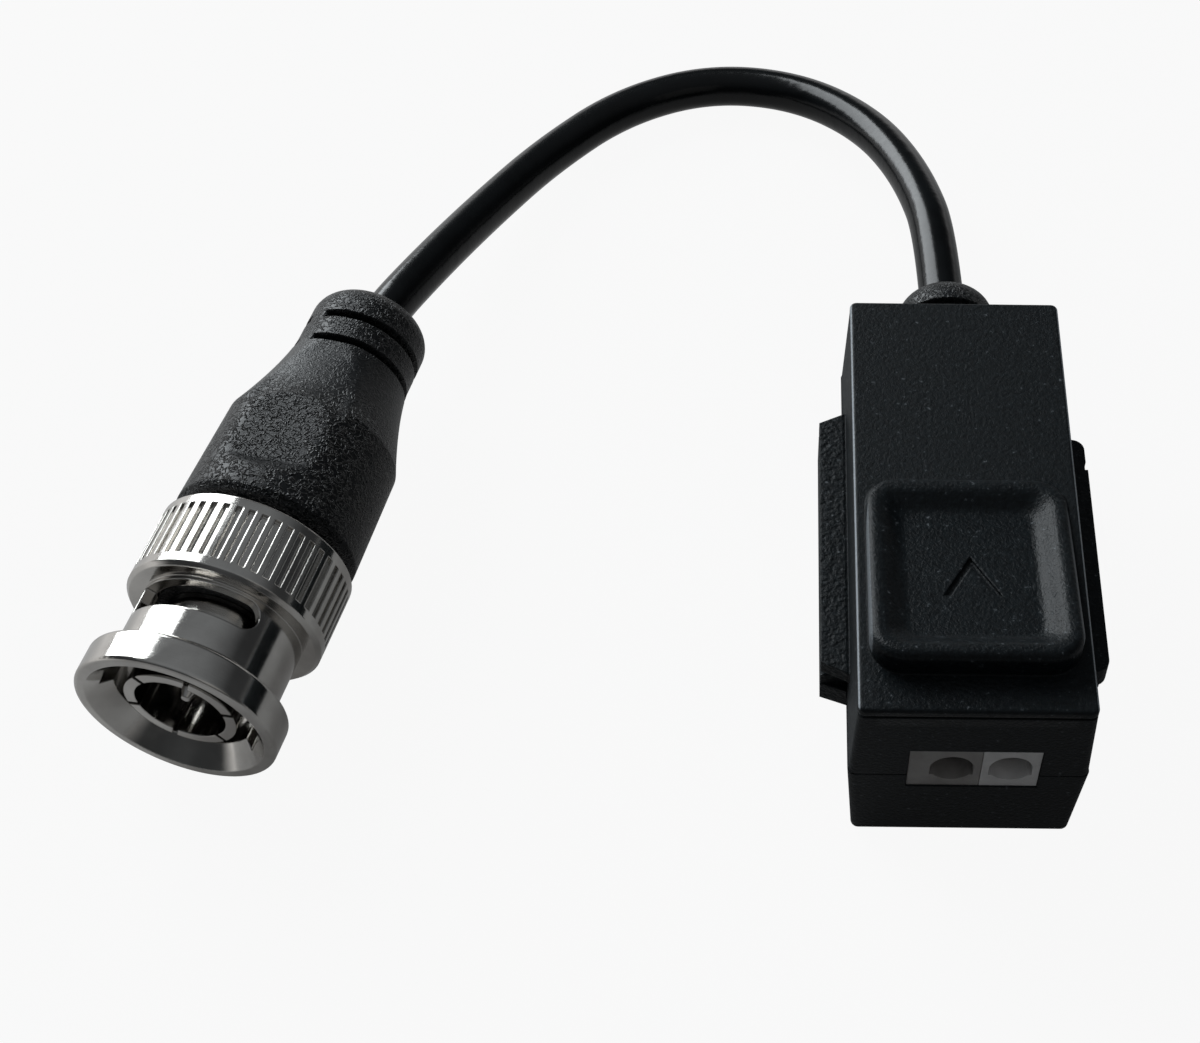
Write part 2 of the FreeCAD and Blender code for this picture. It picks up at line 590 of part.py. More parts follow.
def cover_plate():
    """The plate over the whole top, with its ribs, release prongs and hooks underneath."""
    plate = doc.addObject("PartDesign::Body", "cover_plate")
    half = "(top_width / 2)"
    grow(plate, "XY", LIP_BASE, "cover_lip", [span(f"-{half}", half, FRONT, BACK)])
    soften("Fillet", plate, "corner_radius", lambda middle, run: upright(run))
    soften("Fillet", plate, "cover_edge_radius", lambda middle, run: near(middle.z, value("housing_height")))

    skirt_half = "(top_width / 2 - well_wall - cover_fit)"
    skirt_front = f"({FRONT} + well_wall + cover_fit)"
    grow(plate, "XY", SKIRT_BASE, f"{LIP_BASE} + cover_lip / 2 - {SKIRT_BASE}",
         [span(f"-{skirt_half}", skirt_half, skirt_front, SKIRT_BACK)])
    hollow_half = f"({skirt_half} - skirt_wall)"
    hollow_front = f"{skirt_front} + skirt_wall"
    front_hollow = span(f"-{hollow_half}", hollow_half, hollow_front, f"{FRONT} + rib_front")
    carve(plate, "XY", f"{SKIRT_BASE} - past", f"pad_ceiling - {SKIRT_BASE} + past", [front_hollow])
    rear_hollow = span(f"-{hollow_half}", hollow_half, f"{FRONT} + {RIB_BACK}", f"{SKIRT_BACK} - skirt_wall")
    carve(plate, "XY", f"{SKIRT_BASE} - past", f"rear_ceiling - {SKIRT_BASE} + past", [rear_hollow])

    prongs = []
    prong_start = f"({FRONT} + prong_front)"
    prong_stop = f"({prong_start} + prong_length)"
    for index in (0, 1):
        centre = module_centre(index)
        for inner, outer in (("- prong_inner", "- prong_width"), ("+ prong_inner", "+ prong_width")):
            prongs.append(span(f"{centre} {inner}", f"{centre} {inner} {outer}", prong_start, prong_stop))
    grow(plate, "XY", "prong_tip", "pad_ceiling + skirt_wall / 2 - prong_tip", prongs)

    legs = []
    barbs = []
    outer = "(hook_reach + hook_leg)"
    for index in (0, 1):
        start = f"({FRONT} + hook_front + {index} * hook_pitch)"
        stop = f"({start} + hook_length)"
        legs += [span(f"-{outer}", "-hook_reach", start, stop), span("hook_reach", outer, start, stop)]
        barbs += [span(f"-{outer} - hook_barb", f"-{outer} + hook_leg / 2", start, stop),
                  span(f"{outer} - hook_leg / 2", f"{outer} + hook_barb", start, stop)]
    barb_top = f"({DECK_BASE} - cover_fit)"
    barb_base = f"({barb_top} - hook_leg)"
    grow(plate, "XY", barb_base, f"{LIP_BASE} - {barb_base}", legs)
    grow(plate, "XY", barb_base, "hook_leg", barbs)
    return plate


def thumb_pad():
    """The raised wedge on the cover, and the placement of its slanting top."""
    pad = doc.addObject("PartDesign::Body", "thumb_pad")
    pad_half = "(pad_width / 2)"
    pad_start = f"({FRONT} + pad_front)"
    pad_stop = f"({pad_start} + pad_length)"
    block = span(f"-{pad_half}", pad_half, pad_start, pad_stop)
    grow(pad, "XY", LIP_BASE, "cover_lip + 2 * pad_rise", [block])
    soften("Fillet", pad, "pad_radius", lambda middle, run: upright(run))
    high = "(housing_height + pad_rise)"
    low = "(housing_height + pad_heel)"
    sky = "(housing_height + 4 * pad_rise)"
    before = f"{pad_start} - pad_length"
    behind = f"{pad_stop} + pad_length"
    wedge = [(before, f"2 * {high} - {low}"), (behind, f"2 * {low} - {high}"), (behind, sky), (before, sky)]
    carve(pad, "YZ", f"-{pad_half} - past", "pad_width + 2 * past", [wedge])
    slope = value(f"({low} - {high}) / pad_length")
    front_y = value(pad_start)
    front_z = value(high)
    soften("Fillet", pad, "pad_edge_radius",
           lambda middle, run: near(middle.z, front_z + slope * (middle.y - front_y)))
    centre = Vector(0, value(f"{pad_start} + pad_length / 2"), value(f"({high} + {low}) / 2"))
    return pad, Placement(centre, Rotation(Vector(1, 0, 0), math.degrees(math.atan(slope))))


def slide_cover():
    """The cover: its plate and its thumb pad joined, less the pad's hollow and its arrow."""
    plate = cover_plate()
    pad, tilt = thumb_pad()
    both = doc.addObject("Part::MultiFuse", "cover_with_pad")
    both.Shapes = [plate, pad]
    dish = doc.addObject("Part::Feature", "thumb_dish")
    dish.Shape = dish_shape()
    dish.Placement = tilt
    arrow = doc.addObject("Part::Feature", "arrow_stroke")
    arrow.Shape = arrow_shape(tilt)
    arrow.Placement = tilt
    hollowed = doc.addObject("Part::Cut", "cover_with_dish")
    hollowed.Base = both
    hollowed.Tool = dish
    marked = doc.addObject("Part::Cut", "slide_cover")
    marked.Base = hollowed
    marked.Tool = arrow
    return keep(marked, "slide_cover")


def rounded_ring(half_across, half_along, radius, height):
    """A closed wire: a rectangle about the origin with round corners."""
    edges = []
    corners = [(1, 1, 0), (-1, 1, 90), (-1, -1, 180), (1, -1, 270)]
    for side, end, turned in corners:
        centre = Vector(side * (half_across - radius), end * (half_along - radius), height)
        edges.append(Part.makeCircle(radius, centre, Vector(0, 0, 1), turned, turned + 90))
    joined = []
    for index, arc in enumerate(edges):
        following = edges[(index + 1) % len(edges)]
        start = arc.valueAt(arc.LastParameter)
        stop = following.valueAt(following.FirstParameter)
        joined += [arc, Part.makeLine(start, stop)]
    return Part.Wire(Part.__sortEdges__(joined))


def dish_shape():
    """The hollow of the thumb pad: rings that rise from the flat floor to the rim in a soft S."""
    half_across = value("pad_width / 2 - dish_rim")
    half_along = value("pad_length / 2 - dish_rim")
    depth = value("dish_depth")
    bank = value("dish_slope")
    rim_corner = value("pad_radius - dish_rim")
    floor_corner = rim_corner / 2
    rings = []
    steps = 9
    for step in range(steps):
        share = step / (steps - 1)
        out = bank * (share - 1)
        corner = floor_corner + (rim_corner - floor_corner) * share
        height = -depth * (1 + math.cos(math.pi * share)) / 2
        rings.append(rounded_ring(half_across + out, half_along + out, corner, height))
    rings.append(rounded_ring(half_across, half_along, rim_corner, 2 * depth))
    return Part.makeLoft(rings, True, True)


def arrow_shape(tilt):
    """A plain chevron, pointing back, as a prism that reaches just under the dish's floor."""
    middle = tilt.Base.y
    tip = value(f"{FRONT} + arrow_tip") - middle
    base = tip - value("arrow_length")
    half = value("arrow_width") / 2
    stroke = value("arrow_stroke")
    rise = value("arrow_length") / half
    drop = stroke * math.hypot(1, rise)
    floor = -value("dish_depth + arrow_depth")
    side = stroke * math.hypot(1, rise) / rise
    right = [(0, tip), (half, base), (half - side, base)]
    left = [(0, tip - drop), (side - half, base), (-half, base)]
    corners = [Vector(across, along, floor) for across, along in right + left]
    face = Part.Face(Part.makePolygon(corners + corners[:1]))
    return face.extrude(Vector(0, 0, value("dish_depth + arrow_depth")))


def terminal_end_plate():
    body = new_body("terminal_end_plate")
    left = "(window_left + terminal_fit)"
    face = f"({FRONT} + terminal_inset)"
    plate = span(left, f"{left} + end_plate", face, f"{face} + module_length - module_front")
    grow(body, "XY", "board_top", "window_height - terminal_fit", [plate])
    return body


def terminal_module(name, index):
    body = new_body(name)
    left = module_left(index)
    right = f"({left} + module_width)"
    centre = module_centre(index)
    face = f"({FRONT} + terminal_inset)"
    top = f"({WINDOW_TOP} - terminal_fit)"
    back = f"({face} + module_length)"
    cavity = "(module_width / 2 - module_side)"
    grow(body, "XY", "board_top", f"{top} - board_top", [span(left, right, face, back)])
    room_left = f"({centre} - {cavity})"
    room_right = f"({centre} + {cavity})"
    room = span(room_left, room_right, f"{face} + module_front", f"{back} - module_side")
    carve(body, "XY", "board_top + module_shell", f"{top} - board_top - 2 * module_shell", [room])
    entry_half = "(entry_width / 2)"
    entry_low = "(board_top + entry_base)"
    arch = f"({entry_low} + entry_height - {entry_half})"
    entry = span(f"{centre} - {entry_half}", f"{centre} + {entry_half}", entry_low, arch)
    carve(body, "XZ", f"{face} - past", "module_front + 2 * past", [entry])
    entry_arch = (centre, arch, f"{entry_half} - hair")
    carve(body, "XZ", f"{face} - past", "module_front + 2 * past", circles=[entry_arch])
    release_start = f"({FRONT} + slot_front)"
    release = span(room_left, room_right, release_start, f"{release_start} + slot_length")
    carve(body, "XY", f"{top} - module_shell - past / 2", "module_shell + 2 * past", [release])
    pin_holes = [(centre, bar_pin_place(end), "bar_pin") for end in (0, 1)]
    carve(body, "XY", "board_top - past", "module_shell + 1.5 * past", circles=pin_holes)
    return body


def bar_pin_place(end):
    middle = f"{FRONT} + bar_front + bar_length / 2"
    return f"({middle} + {2 * end - 1} * (bar_length / 2 - 2 * bar_pin))"


def contact_bar(name, index):
    body = new_body(name)
    centre = module_centre(index)
    base = "(board_top + module_shell + terminal_fit)"
    start = f"({FRONT} + bar_front)"
    bar = span(f"{centre} - bar_width / 2", f"{centre} + bar_width / 2", start, f"{start} + bar_length")
    grow(body, "XY", base, "bar_thickness", [bar])
    half = "(bar_pin / 2)"
    pins = []
    pin_left = f"{centre} - {half}"
    pin_right = f"{centre} + {half}"
    for end in (0, 1):
        place = bar_pin_place(end)
        pins.append(span(pin_left, pin_right, f"{place} - {half}", f"{place} + {half}"))
    foot = "(board_top - bar_pin_length)"
    grow(body, "XY", foot, f"{base} - {foot} + bar_thickness / 2", pins)
    return body


def ribbon(points, thickness):
    """The outline of a bent strip: a run of points moved out to both sides, mitred at each bend."""
    sides = ([], [])
    count = len(points)
    for index, point in enumerate(points):
        before = points[max(index - 1, 0)]
        after = points[min(index + 1, count - 1)]
        into = (point - before) if index else (after - point)
        out = (after - point) if index < count - 1 else (point - before)
        into.normalize()
        out.normalize()
        across = Vector(0, -into.z - out.z, into.y + out.y)
        across.normalize()
        first = Vector(0, -into.z, into.y)
        reach = thickness / 2 / across.dot(first)
        sides[0].append(point + across * reach)
        sides[1].append(point - across * reach)
    return sides[0] + sides[1][::-1]


def clamp_spring(name, index):
    """A leaf that stands at the back of the terminal, bends over and leans down on the bar."""
    foot = value("board_top + module_shell + 2 * terminal_fit + bar_thickness + leaf_thickness / 2")
    back = value(f"{FRONT} + leaf_back")
    top = value("leaf_top")
    bend = value("leaf_bend")
    crown = value("leaf_crown")
    run = [Vector(0, back, foot), Vector(0, back, top - bend), Vector(0, back - bend, top),
           Vector(0, back - bend - crown, top), Vector(0, back - 2 * bend - crown, top - bend),
           Vector(0, back - value("leaf_lean"), foot)]
    corners = ribbon(run, value("leaf_thickness"))
    face = Part.Face(Part.makePolygon(corners + corners[:1]))
    piece = doc.addObject("Part::Feature", name)
    piece.Shape = face.extrude(Vector(value("leaf_width"), 0, 0))
    piece.Placement = Placement(Vector(value(f"{module_centre(index)} - leaf_width / 2"), 0, 0), Rotation())
    return keep(piece, name)


def circuit_board():
    body = new_body("circuit_board")
    half = "(board_width / 2)"
    base = "(board_top - board_thickness)"
    board = span(f"-{half}", half, f"{FRONT} + board_front", f"{BACK} - board_rear")
    grow(body, "XY", base, "board_thickness", [board])
    holes = [(module_centre(index), bar_pin_place(end), "bar_pin") for index in (0, 1) for end in (0, 1)]
    carve(body, "XY", f"{base} - past", "board_thickness + 2 * past", circles=holes)
    return body


def cut_flex_slots(body, radius, low, sweep, turned):
    """Two slots across from each other that let a soft piece bend, their middles at this angle from level."""
    high = f"({low} + flex_width)"
    for side in ("", "-"):
        inner = f"{side}({radius} - flex_depth)"
        outer = f"{side}({radius} + past)"
        slot = groove(body, [(inner, low), (outer, low), (outer, high), (inner, high)], sweep)
        drawing = slot.Profile[0]
        drawing.AttachmentOffset = Placement(Vector(0, 0, 0), Rotation(Vector(0, 1, 0), -value(turned)))


def strain_relief():
    """The rubber collar: a flange inside the wall, a neck through it and a domed collar outside."""
    body = new_body("strain_relief")
    neck = "(relief_hole - relief_fit)"
    inner = f"({BACK} - wall - relief_fit)"
    collar = f"({BACK} + relief_groove)"
    end = f"({collar} + relief_length)"
    bore = "(cable_diameter / 2)"
    dome = f"({end} - relief_dome)"
    shoulder = "(relief_radius - relief_dome / 4)"
    flange = f"({inner} - relief_flange_length)"
    turn(body, [(bore, flange), ("relief_flange", flange), ("relief_flange", inner), (neck, inner),
                (neck, collar), ("relief_radius", collar), ("relief_radius", dome),
                (shoulder, f"{end} - relief_dome / 3"), ("relief_nose", end), (bore, end)])
    cut_flex_slots(body, "relief_radius", f"({collar} + relief_slot)", "relief_sweep", "90")
    body.setExpression("Placement.Base.x", bind("cable_side"))
    body.setExpression("Placement.Base.z", bind("cable_height"))
    return body


def on_board(name, across, along, sizes):
    """A chip part on the board, by its middle and its length, width and height."""
    piece = doc.addObject("Part::Box", name)
    long, wide, tall = sizes
    placed = (("Length", wide), ("Width", long), ("Height", tall), ("Placement.Base.z", "board_top"),
              ("Placement.Base.x", f"{across} - {wide} / 2"), ("Placement.Base.y", f"{along} - {long} / 2"))
    for prop, text in placed:
        piece.setExpression(prop, bind(text))
    return piece


def chip_group(name, places, sizes):
    members = []
    for number, (across, along) in enumerate(places):
        members.append(on_board(f"{name}_{number}", across, along, sizes))
    group = doc.addObject("Part::Compound", name)
    group.Links = members
    return keep(group, name)


def choke_core():
    body = new_body("choke_core")
    grow(body, "XY", "board_top + turn_wire + terminal_fit", "core_height",
         circles=[("0", CORE_PLACE, "core_radius"), ("0", CORE_PLACE, "core_bore")])
    return body


def choke_winding():
    """Two rows of turns round the core, each turn a square loop of wire."""
    wire = value("turn_wire")
    low = value("board_top + turn_wire + terminal_fit")
    tall = value("core_height")
    inner = value("core_bore - turn_wire - turn_fit")
    outer = value("core_radius + turn_wire + turn_fit")
    turns = []
    for side in (0, 180):
        for step in range(-3, 4):
            frame = Part.makeBox(outer - inner, wire, tall + 2 * wire, Vector(inner, -wire / 2, low - wire))
            corner = Vector(inner + wire, -1.5 * wire, low)
            window = Part.makeBox(outer - inner - 2 * wire, 3 * wire, tall, corner)
            loop = frame.cut(window)
            loop.rotate(Vector(0, 0, 0), Vector(0, 0, 1), side + step * value("turn_spread"))
            loop.translate(Vector(0, value(CORE_PLACE), 0))
            turns.append(loop)
    piece = doc.addObject("Part::Feature", "choke_winding")
    piece.Shape = Part.makeCompound(turns)
    return keep(piece, "choke_winding")


def cover_spring():
    """The compression coil between the cover's cross rib and the post on the deck."""
    radius = value("coil_radius")
    wire = value("coil_wire") / 2
    length = value(COIL_LENGTH) - 4 * wire
    helix = Part.makeHelix(length / value("coil_turns"), length, radius)
    section = Part.Wire(Part.makeCircle(wire, Vector(radius, 0, 0), Vector(0, 1, 0)))
    piece = doc.addObject("Part::Feature", "cover_spring")
    piece.Shape = Part.Wire(helix.Edges).makePipeShell([section], True, True)
    start = value(f"{FRONT} + {RIB_BACK}") + 2 * wire
    place = Vector(0, start, value(f"{DECK_TOP} + cover_fit") + radius + wire)
    piece.Placement = Placement(place, Rotation(Vector(1, 0, 0), -90))
    return keep(piece, "cover_spring")


def coax_core():
    """The lead's inner conductor, from the end of the jacket down to its joint on the board."""
    end = value(f"{BACK} - cable_tail")
    side = value("cable_side")
    height = value("cable_height")
    board = value("board_top")
    thick = value("core_sleeve")
    thin = value("core_strand")
    back = Vector(0, -1, 0)
    sleeve = Part.makeCylinder(thick, 2 * thick, Vector(side, end, height), back)
    strand = Part.makeCylinder(thin, 2 * thick, Vector(side, end - 2 * thick, height), back)
    knee = Vector(side, value(KNEE_PLACE), height)
    bead = Part.makeSphere(thin, knee)
    drop = Part.makeCylinder(thin, height - board, knee, Vector(0, 0, -1))
    joint = Part.makeCone(thick, thin, thick, Vector(knee.x, knee.y, board))
    piece = doc.addObject("Part::Feature", "coax_core")
    piece.Shape = sleeve.fuse([strand, bead, drop, joint]).removeSplitter()
    return keep(piece, "coax_core")


def coax_braid():
    """The screen, twisted together and soldered beside the core."""
    thick = value("core_sleeve")
    thin = value("braid_tail")
    jacket_end = value(f"{BACK} - cable_tail")
    start = Vector(value("cable_side + cable_diameter / 3"), jacket_end, value("cable_height"))
    foot = Vector(value("cable_side + cable_diameter"), start.y - 3 * thick, value("board_top"))
    lean = foot - start
    tail = Part.makeCylinder(thin, lean.Length, start, lean)
    joint = Part.makeCone(thick, thin, thick, foot)
    side = 2 * lean.Length
    above = Part.makeBox(side, side, side, Vector(foot.x - side / 2, foot.y - side / 2, foot.z))
    jacket = Part.makeBox(side, side, side, Vector(start.x - side / 2, start.y, start.z - side / 2))
    piece = doc.addObject("Part::Feature", "coax_braid")
    piece.Shape = tail.common(above).cut(jacket).fuse(joint).removeSplitter()
    return keep(piece, "coax_braid")


# The lead's route, chosen by hand along the table: out of the housing, down, round, and up to the boot
ROUTE = [(0.2, 32.0, 8.1), (-0.4, 42.4, 1.8), (-6.0, 53.4, 1.8), (-14.9, 58.2, 1.8), (-24.2, 57.3, 1.8),
         (-32.2, 51.0, 1.8), (-37.0, 41.0, 1.8)]
ARC_SHARE = 0.45


def plug_point(along):
    """A point on the plug's axis, in the housing's frame."""
    across = value(f"plug_x + {along} * sin(plug_turn)")
    back = value(f"plug_y + {along} * cos(plug_turn)")
    return Vector(across, back, value("plug_height"))


def cable_route():
    start = Vector(value("cable_side"), value(f"{BACK} - cable_tail"), value("cable_height"))
    on_table = [Vector(*point) for point in ROUTE]
    return [start] + on_table + [plug_point(value("boot_end + lead_rise")), plug_point(value("ferrule_end"))]


def cable():
    """Straight runs joined by tangent arcs, swept with the lead's round section."""
    points = cable_route()
    edges = []
    last = points[0]
    radii = []
    for before, corner, after in zip(points, points[1:], points[2:]):
        into = corner - before
        out = after - corner
        shorter = min(into.Length, out.Length)
        half_turn = into.getAngle(out) / 2
        reach = ARC_SHARE * shorter
        into.normalize()
        out.normalize()
        begin = corner - into * reach
        finish = corner + out * reach
        inside = (out - into).normalize()
        radius = reach / math.tan(half_turn)
        middle = corner + inside * (radius / math.cos(half_turn) - radius)
        radii.append(round(radius, 1))
        edges += [Part.makeLine(last, begin), Part.Arc(begin, middle, finish).toShape()]
        last = finish
    edges.append(Part.makeLine(last, points[-1]))
    path = Part.Wire(edges)
    first = points[1] - points[0]
    section = Part.Wire(Part.makeCircle(value("cable_diameter / 2"), points[0], first))
    piece = doc.addObject("Part::Feature", "cable")
    piece.Shape = path.makePipeShell([section], True, False)
    expected = math.pi * value("cable_diameter / 2") ** 2 * path.Length
    print("lead: length", round(path.Length, 1), "radii", radii)
    print("lead: volume ratio", round(piece.Shape.Volume / expected, 4))
    return keep(piece, "cable")


def on_plug(piece, roll="0"):
    """Puts a piece that was drawn about local Y where the plug lies, after rolling it on its axis."""
    lay = Rotation(Vector(0, 0, 1), -value("plug_turn"))
    roll_turn = Rotation(Vector(0, 1, 0), value(roll))
    piece.Placement = Placement(plug_point("0"), lay.multiply(roll_turn))
    piece.setExpression("Placement.Base.x", bind("plug_x"))
    piece.setExpression("Placement.Base.y", bind("plug_y"))
    piece.setExpression("Placement.Base.z", bind("plug_height"))
    return piece


def rolled(across, up, angle):
    """A point of a drawing, turned about the plug's axis."""
    turned_across = f"{across} * cos({angle}) - {up} * sin({angle})"
    turned_up = f"{across} * sin({angle}) + {up} * cos({angle})"
    return (turned_across, turned_up)


def from_axis(point):
    return math.hypot(point.x, point.z)


def coupling_sleeve():
    body = new_body("coupling_sleeve")
    waist_start = "(sleeve_flange + sleeve_cone)"
    outside = [("mouth_radius", "0"), ("sleeve_radius", "0"), ("sleeve_radius", "sleeve_flange"),
               ("sleeve_waist", waist_start), ("sleeve_waist", "knurl_start"),
               ("knurl_radius", "knurl_start"), ("knurl_radius", "sleeve_length")]
    inside = [("chamber_radius", "sleeve_length"), ("chamber_radius", "step_place"),
              ("sleeve_bore", "step_place"), ("sleeve_bore", "mouth_cone")]
    turn(body, outside + inside)
    knurl_radius = value("knurl_radius")
    flange_radius = value("sleeve_radius")
    before_knurl = value("knurl_start")
    soften("Chamfer", body, "knurl_depth", lambda middle, run: near(from_axis(middle), knurl_radius))
    soften("Fillet", body, "knurl_depth",
           lambda middle, run: near(from_axis(middle), flange_radius) and middle.y < before_knurl)

    seat_start = f"{RING_PLACE} - washer_fit"
    seat_end = f"{RING_PLACE} + ring_thickness + washer_fit"
    groove(body, [("chamber_radius - past", seat_start), ("ring_radius + washer_fit", seat_start),
                  ("ring_radius + washer_fit", seat_end), ("chamber_radius - past", seat_end)])
    tooth = "(pi * knurl_radius / knurl_count / 2)"
    valley = span("knurl_radius - knurl_depth", "knurl_radius + past", f"-{tooth}", tooth)
    knurl_length = "sleeve_length - knurl_start - 2 * knurl_land"
    flute = carve(body, "XZ", "knurl_start + knurl_land", knurl_length, [valley])
    doc.recompute()
    repeat_round(body, [flute], "knurl_count")

    half = "(stud_groove_width / 2)"
    entries = []
    right = ("(sleeve_bore - past)", "stud_groove_radius")
    left = ("(-stud_groove_radius)", "(past - sleeve_bore)")
    for low, high in (right, left):
        corners = span(low, high, f"(-{half})", half)
        entries.append([rolled(across, up, "stud_groove_turn") for across, up in corners])
    carve(body, "XZ", "-past", "slot_place + past", entries)
    low = "(slot_place - slot_width / 2)"
    high = "(slot_place + slot_width / 2)"
    for side in ("", "-"):
        inner = f"{side}(sleeve_bore - past / 2)"
        outer = f"{side}(sleeve_waist + past / 2)"
        cut = groove(body, [(inner, low), (outer, low), (outer, high), (inner, high)], "slot_sweep")
        cut.Midplane = False
    round_end = ("0", "slot_place", "slot_width / 2")
    carve(body, "XY", "-sleeve_waist - past", "2 * sleeve_waist + 2 * past", circles=[round_end])
    return on_plug(body, "sleeve_roll")


def plug_contact():
    body = new_body("plug_contact")
    gasket_seat = "(body_flange_place - gasket_length - washer_fit)"
    outside = [("contact_bore", "contact_inset"), ("contact_radius", "contact_inset"),
               ("contact_radius", gasket_seat), ("gasket_seat_radius", gasket_seat),
               ("gasket_seat_radius", "body_flange_place"), ("body_flange_radius", "body_flange_place"),
               ("body_flange_radius", FLANGE_END), ("body_shaft", FLANGE_END),
               ("body_shaft", "body_rear"), ("body_tail", "body_rear"), ("body_tail", "body_tail_end")]
    inside = [("tail_bore", "body_tail_end"), ("tail_bore", "insulator_step"),
              ("contact_bore", "insulator_step")]
    turn(body, outside + inside)
    half = "(contact_slit / 2)"
    gap = span("(contact_bore - past / 2)", "(contact_radius + past / 2)", f"(-{half})", half)
    turned_gap = [rolled(across, up, "slit_turn") for across, up in gap]
    slit = carve(body, "XZ", "0", "contact_inset + contact_slit_length", [turned_gap])
    doc.recompute()
    repeat_round(body, [slit], "contact_fingers")
    return on_plug(body)


def plug_insulator():
    body = new_body("plug_insulator")
    fit = "insulator_fit"
    bore = f"pin_shank_radius + {fit}"
    wide = f"contact_bore - {fit}"
    slim = f"tail_bore - {fit}"
    boss_end = "insulator_face - insulator_boss_length"
    turn(body, [(bore, boss_end), ("insulator_boss", boss_end), ("insulator_boss", "insulator_face"),
                (wide, "insulator_face"), (wide, "insulator_step"), (slim, "insulator_step"),
                (slim, "body_tail_end"), (bore, "body_tail_end")])
    return on_plug(body)


def plug_pin():
    body = new_body("plug_pin")
    shoulder = "(insulator_face - insulator_boss_length)"
    turn(body, [("0", "centre_pin_tip"), ("centre_pin_nose", "centre_pin_tip"),
                ("centre_pin_radius", "centre_pin_tip + centre_pin_radius"),
                ("centre_pin_radius", shoulder), ("pin_shank_radius", shoulder),
                ("pin_shank_radius", "centre_pin_end"), ("0", "centre_pin_end")])
    return on_plug(body)


def ring(name, inner, outer, start, length, angle="360"):
    body = new_body(name)
    end = f"{start} + {length}"
    turn(body, [(inner, start), (outer, start), (outer, end), (inner, end)], angle)
    return on_plug(body)


def wave_washer():
    """A thin ring whose height runs through three waves, made of flat facets."""
    thick = value("wave_thickness")
    rise = value("wave_height") - thick
    start = value(FLANGE_END)
    inner = value("wave_bore")
    outer = value("wave_radius")
    section = ((inner, 0), (outer, 0), (outer, thick), (inner, thick))
    waves = 3
    steps = 36
    rings = []
    for step in range(steps):
        angle = 2 * math.pi * step / steps
        height = start + rise * (1 - math.cos(waves * angle)) / 2
        rings.append([Vector(radius * math.cos(angle), height + lift, radius * math.sin(angle))
                      for radius, lift in section])
    faces = []
    for step, here in enumerate(rings):
        there = rings[(step + 1) % steps]
        for side in range(len(section)):
            following = (side + 1) % len(section)
            corners = [here[side], there[side], there[following], here[following]]
            for trio in (corners[:3], corners[2:] + corners[:1]):
                faces.append(Part.Face(Part.makePolygon(trio + trio[:1])))
    shell = Part.makeShell(faces)
    shell.sewShape()
    solid = Part.makeSolid(shell)
    if solid.Volume < 0:
        solid.reverse()
    piece = doc.addObject("Part::Feature", "wave_washer")
    piece.Shape = solid
    return on_plug(keep(piece, "wave_washer"))


FERRULE_SHOULDER = "(body_tail_end + ferrule_shoulder / 2)"
FERRULE_NECK = "(body_tail_end + 1.5 * ferrule_shoulder)"


def crimp_ferrule():
    body = new_body("crimp_ferrule")
    fit = "insulator_fit"
    turn(body, [(f"body_tail + {fit}", f"body_rear + {fit}"), ("ferrule_radius", f"body_rear + {fit}"),
                ("ferrule_radius", FERRULE_SHOULDER), ("ferrule_neck", FERRULE_NECK),
                ("ferrule_neck", "ferrule_end"),
                ("centre_pin_radius", "ferrule_end"), ("centre_pin_radius", f"body_tail_end + {fit}"),
                (f"body_tail + {fit}", f"body_tail_end + {fit}")])
    return on_plug(body)


def plug_boot():
    body = new_body("plug_boot")
    fit = "insulator_fit"
    lead = "(cable_diameter / 2)"
    neck = f"(ferrule_neck + {fit})"
    collar = f"(ferrule_radius + {fit})"
    shaft = f"(body_shaft + {fit})"
    turn(body, [(shaft, "boot_start"), ("boot_neck", "boot_start"),
                ("boot_radius", "boot_start + boot_radius - boot_neck"),
                ("boot_corner_radius", "boot_barrel_end"), ("boot_tail_radius", "boot_tail_start"),
                ("boot_tail_radius", "boot_end"), (lead, "boot_end"), (lead, f"ferrule_end + {fit}"),
                (neck, f"ferrule_end + {fit}"), (neck, FERRULE_NECK), (collar, FERRULE_SHOULDER),
                (collar, f"body_rear + {fit}"), (shaft, f"body_rear + {fit}")])
    outside = value("cable_diameter")
    soften("Fillet", body, "boot_end_radius",
           lambda middle, run: near(middle.y, value("boot_end")) and from_axis(middle) > outside)
    soften("Fillet", body, "boot_blend_radius",
           lambda middle, run: near(middle.y, value("boot_tail_start")) and from_axis(middle) > outside)
    for sign in ("", "-"):
        top = f"{sign}(boot_radius + past)"
        level = f"{sign}(boot_radius - grip_depth)"
        grip = [("grip_start", top), ("grip_start", f"{sign}(boot_radius - grip_edge)"),
                ("grip_start + grip_ramp", level), ("grip_end", level),
                ("grip_fade", f"{sign}boot_tail_radius"), ("grip_fade", top)]
        carve(body, "YZ", "-boot_radius - past", "2 * boot_radius + 2 * past", [grip])
    for row in (0, 1):
        low = f"(flex_first + {row} * flex_pitch)"
        cut_flex_slots(body, "boot_tail_radius", low, "flex_sweep", "flex_turn")
    return on_plug(body, "boot_roll")


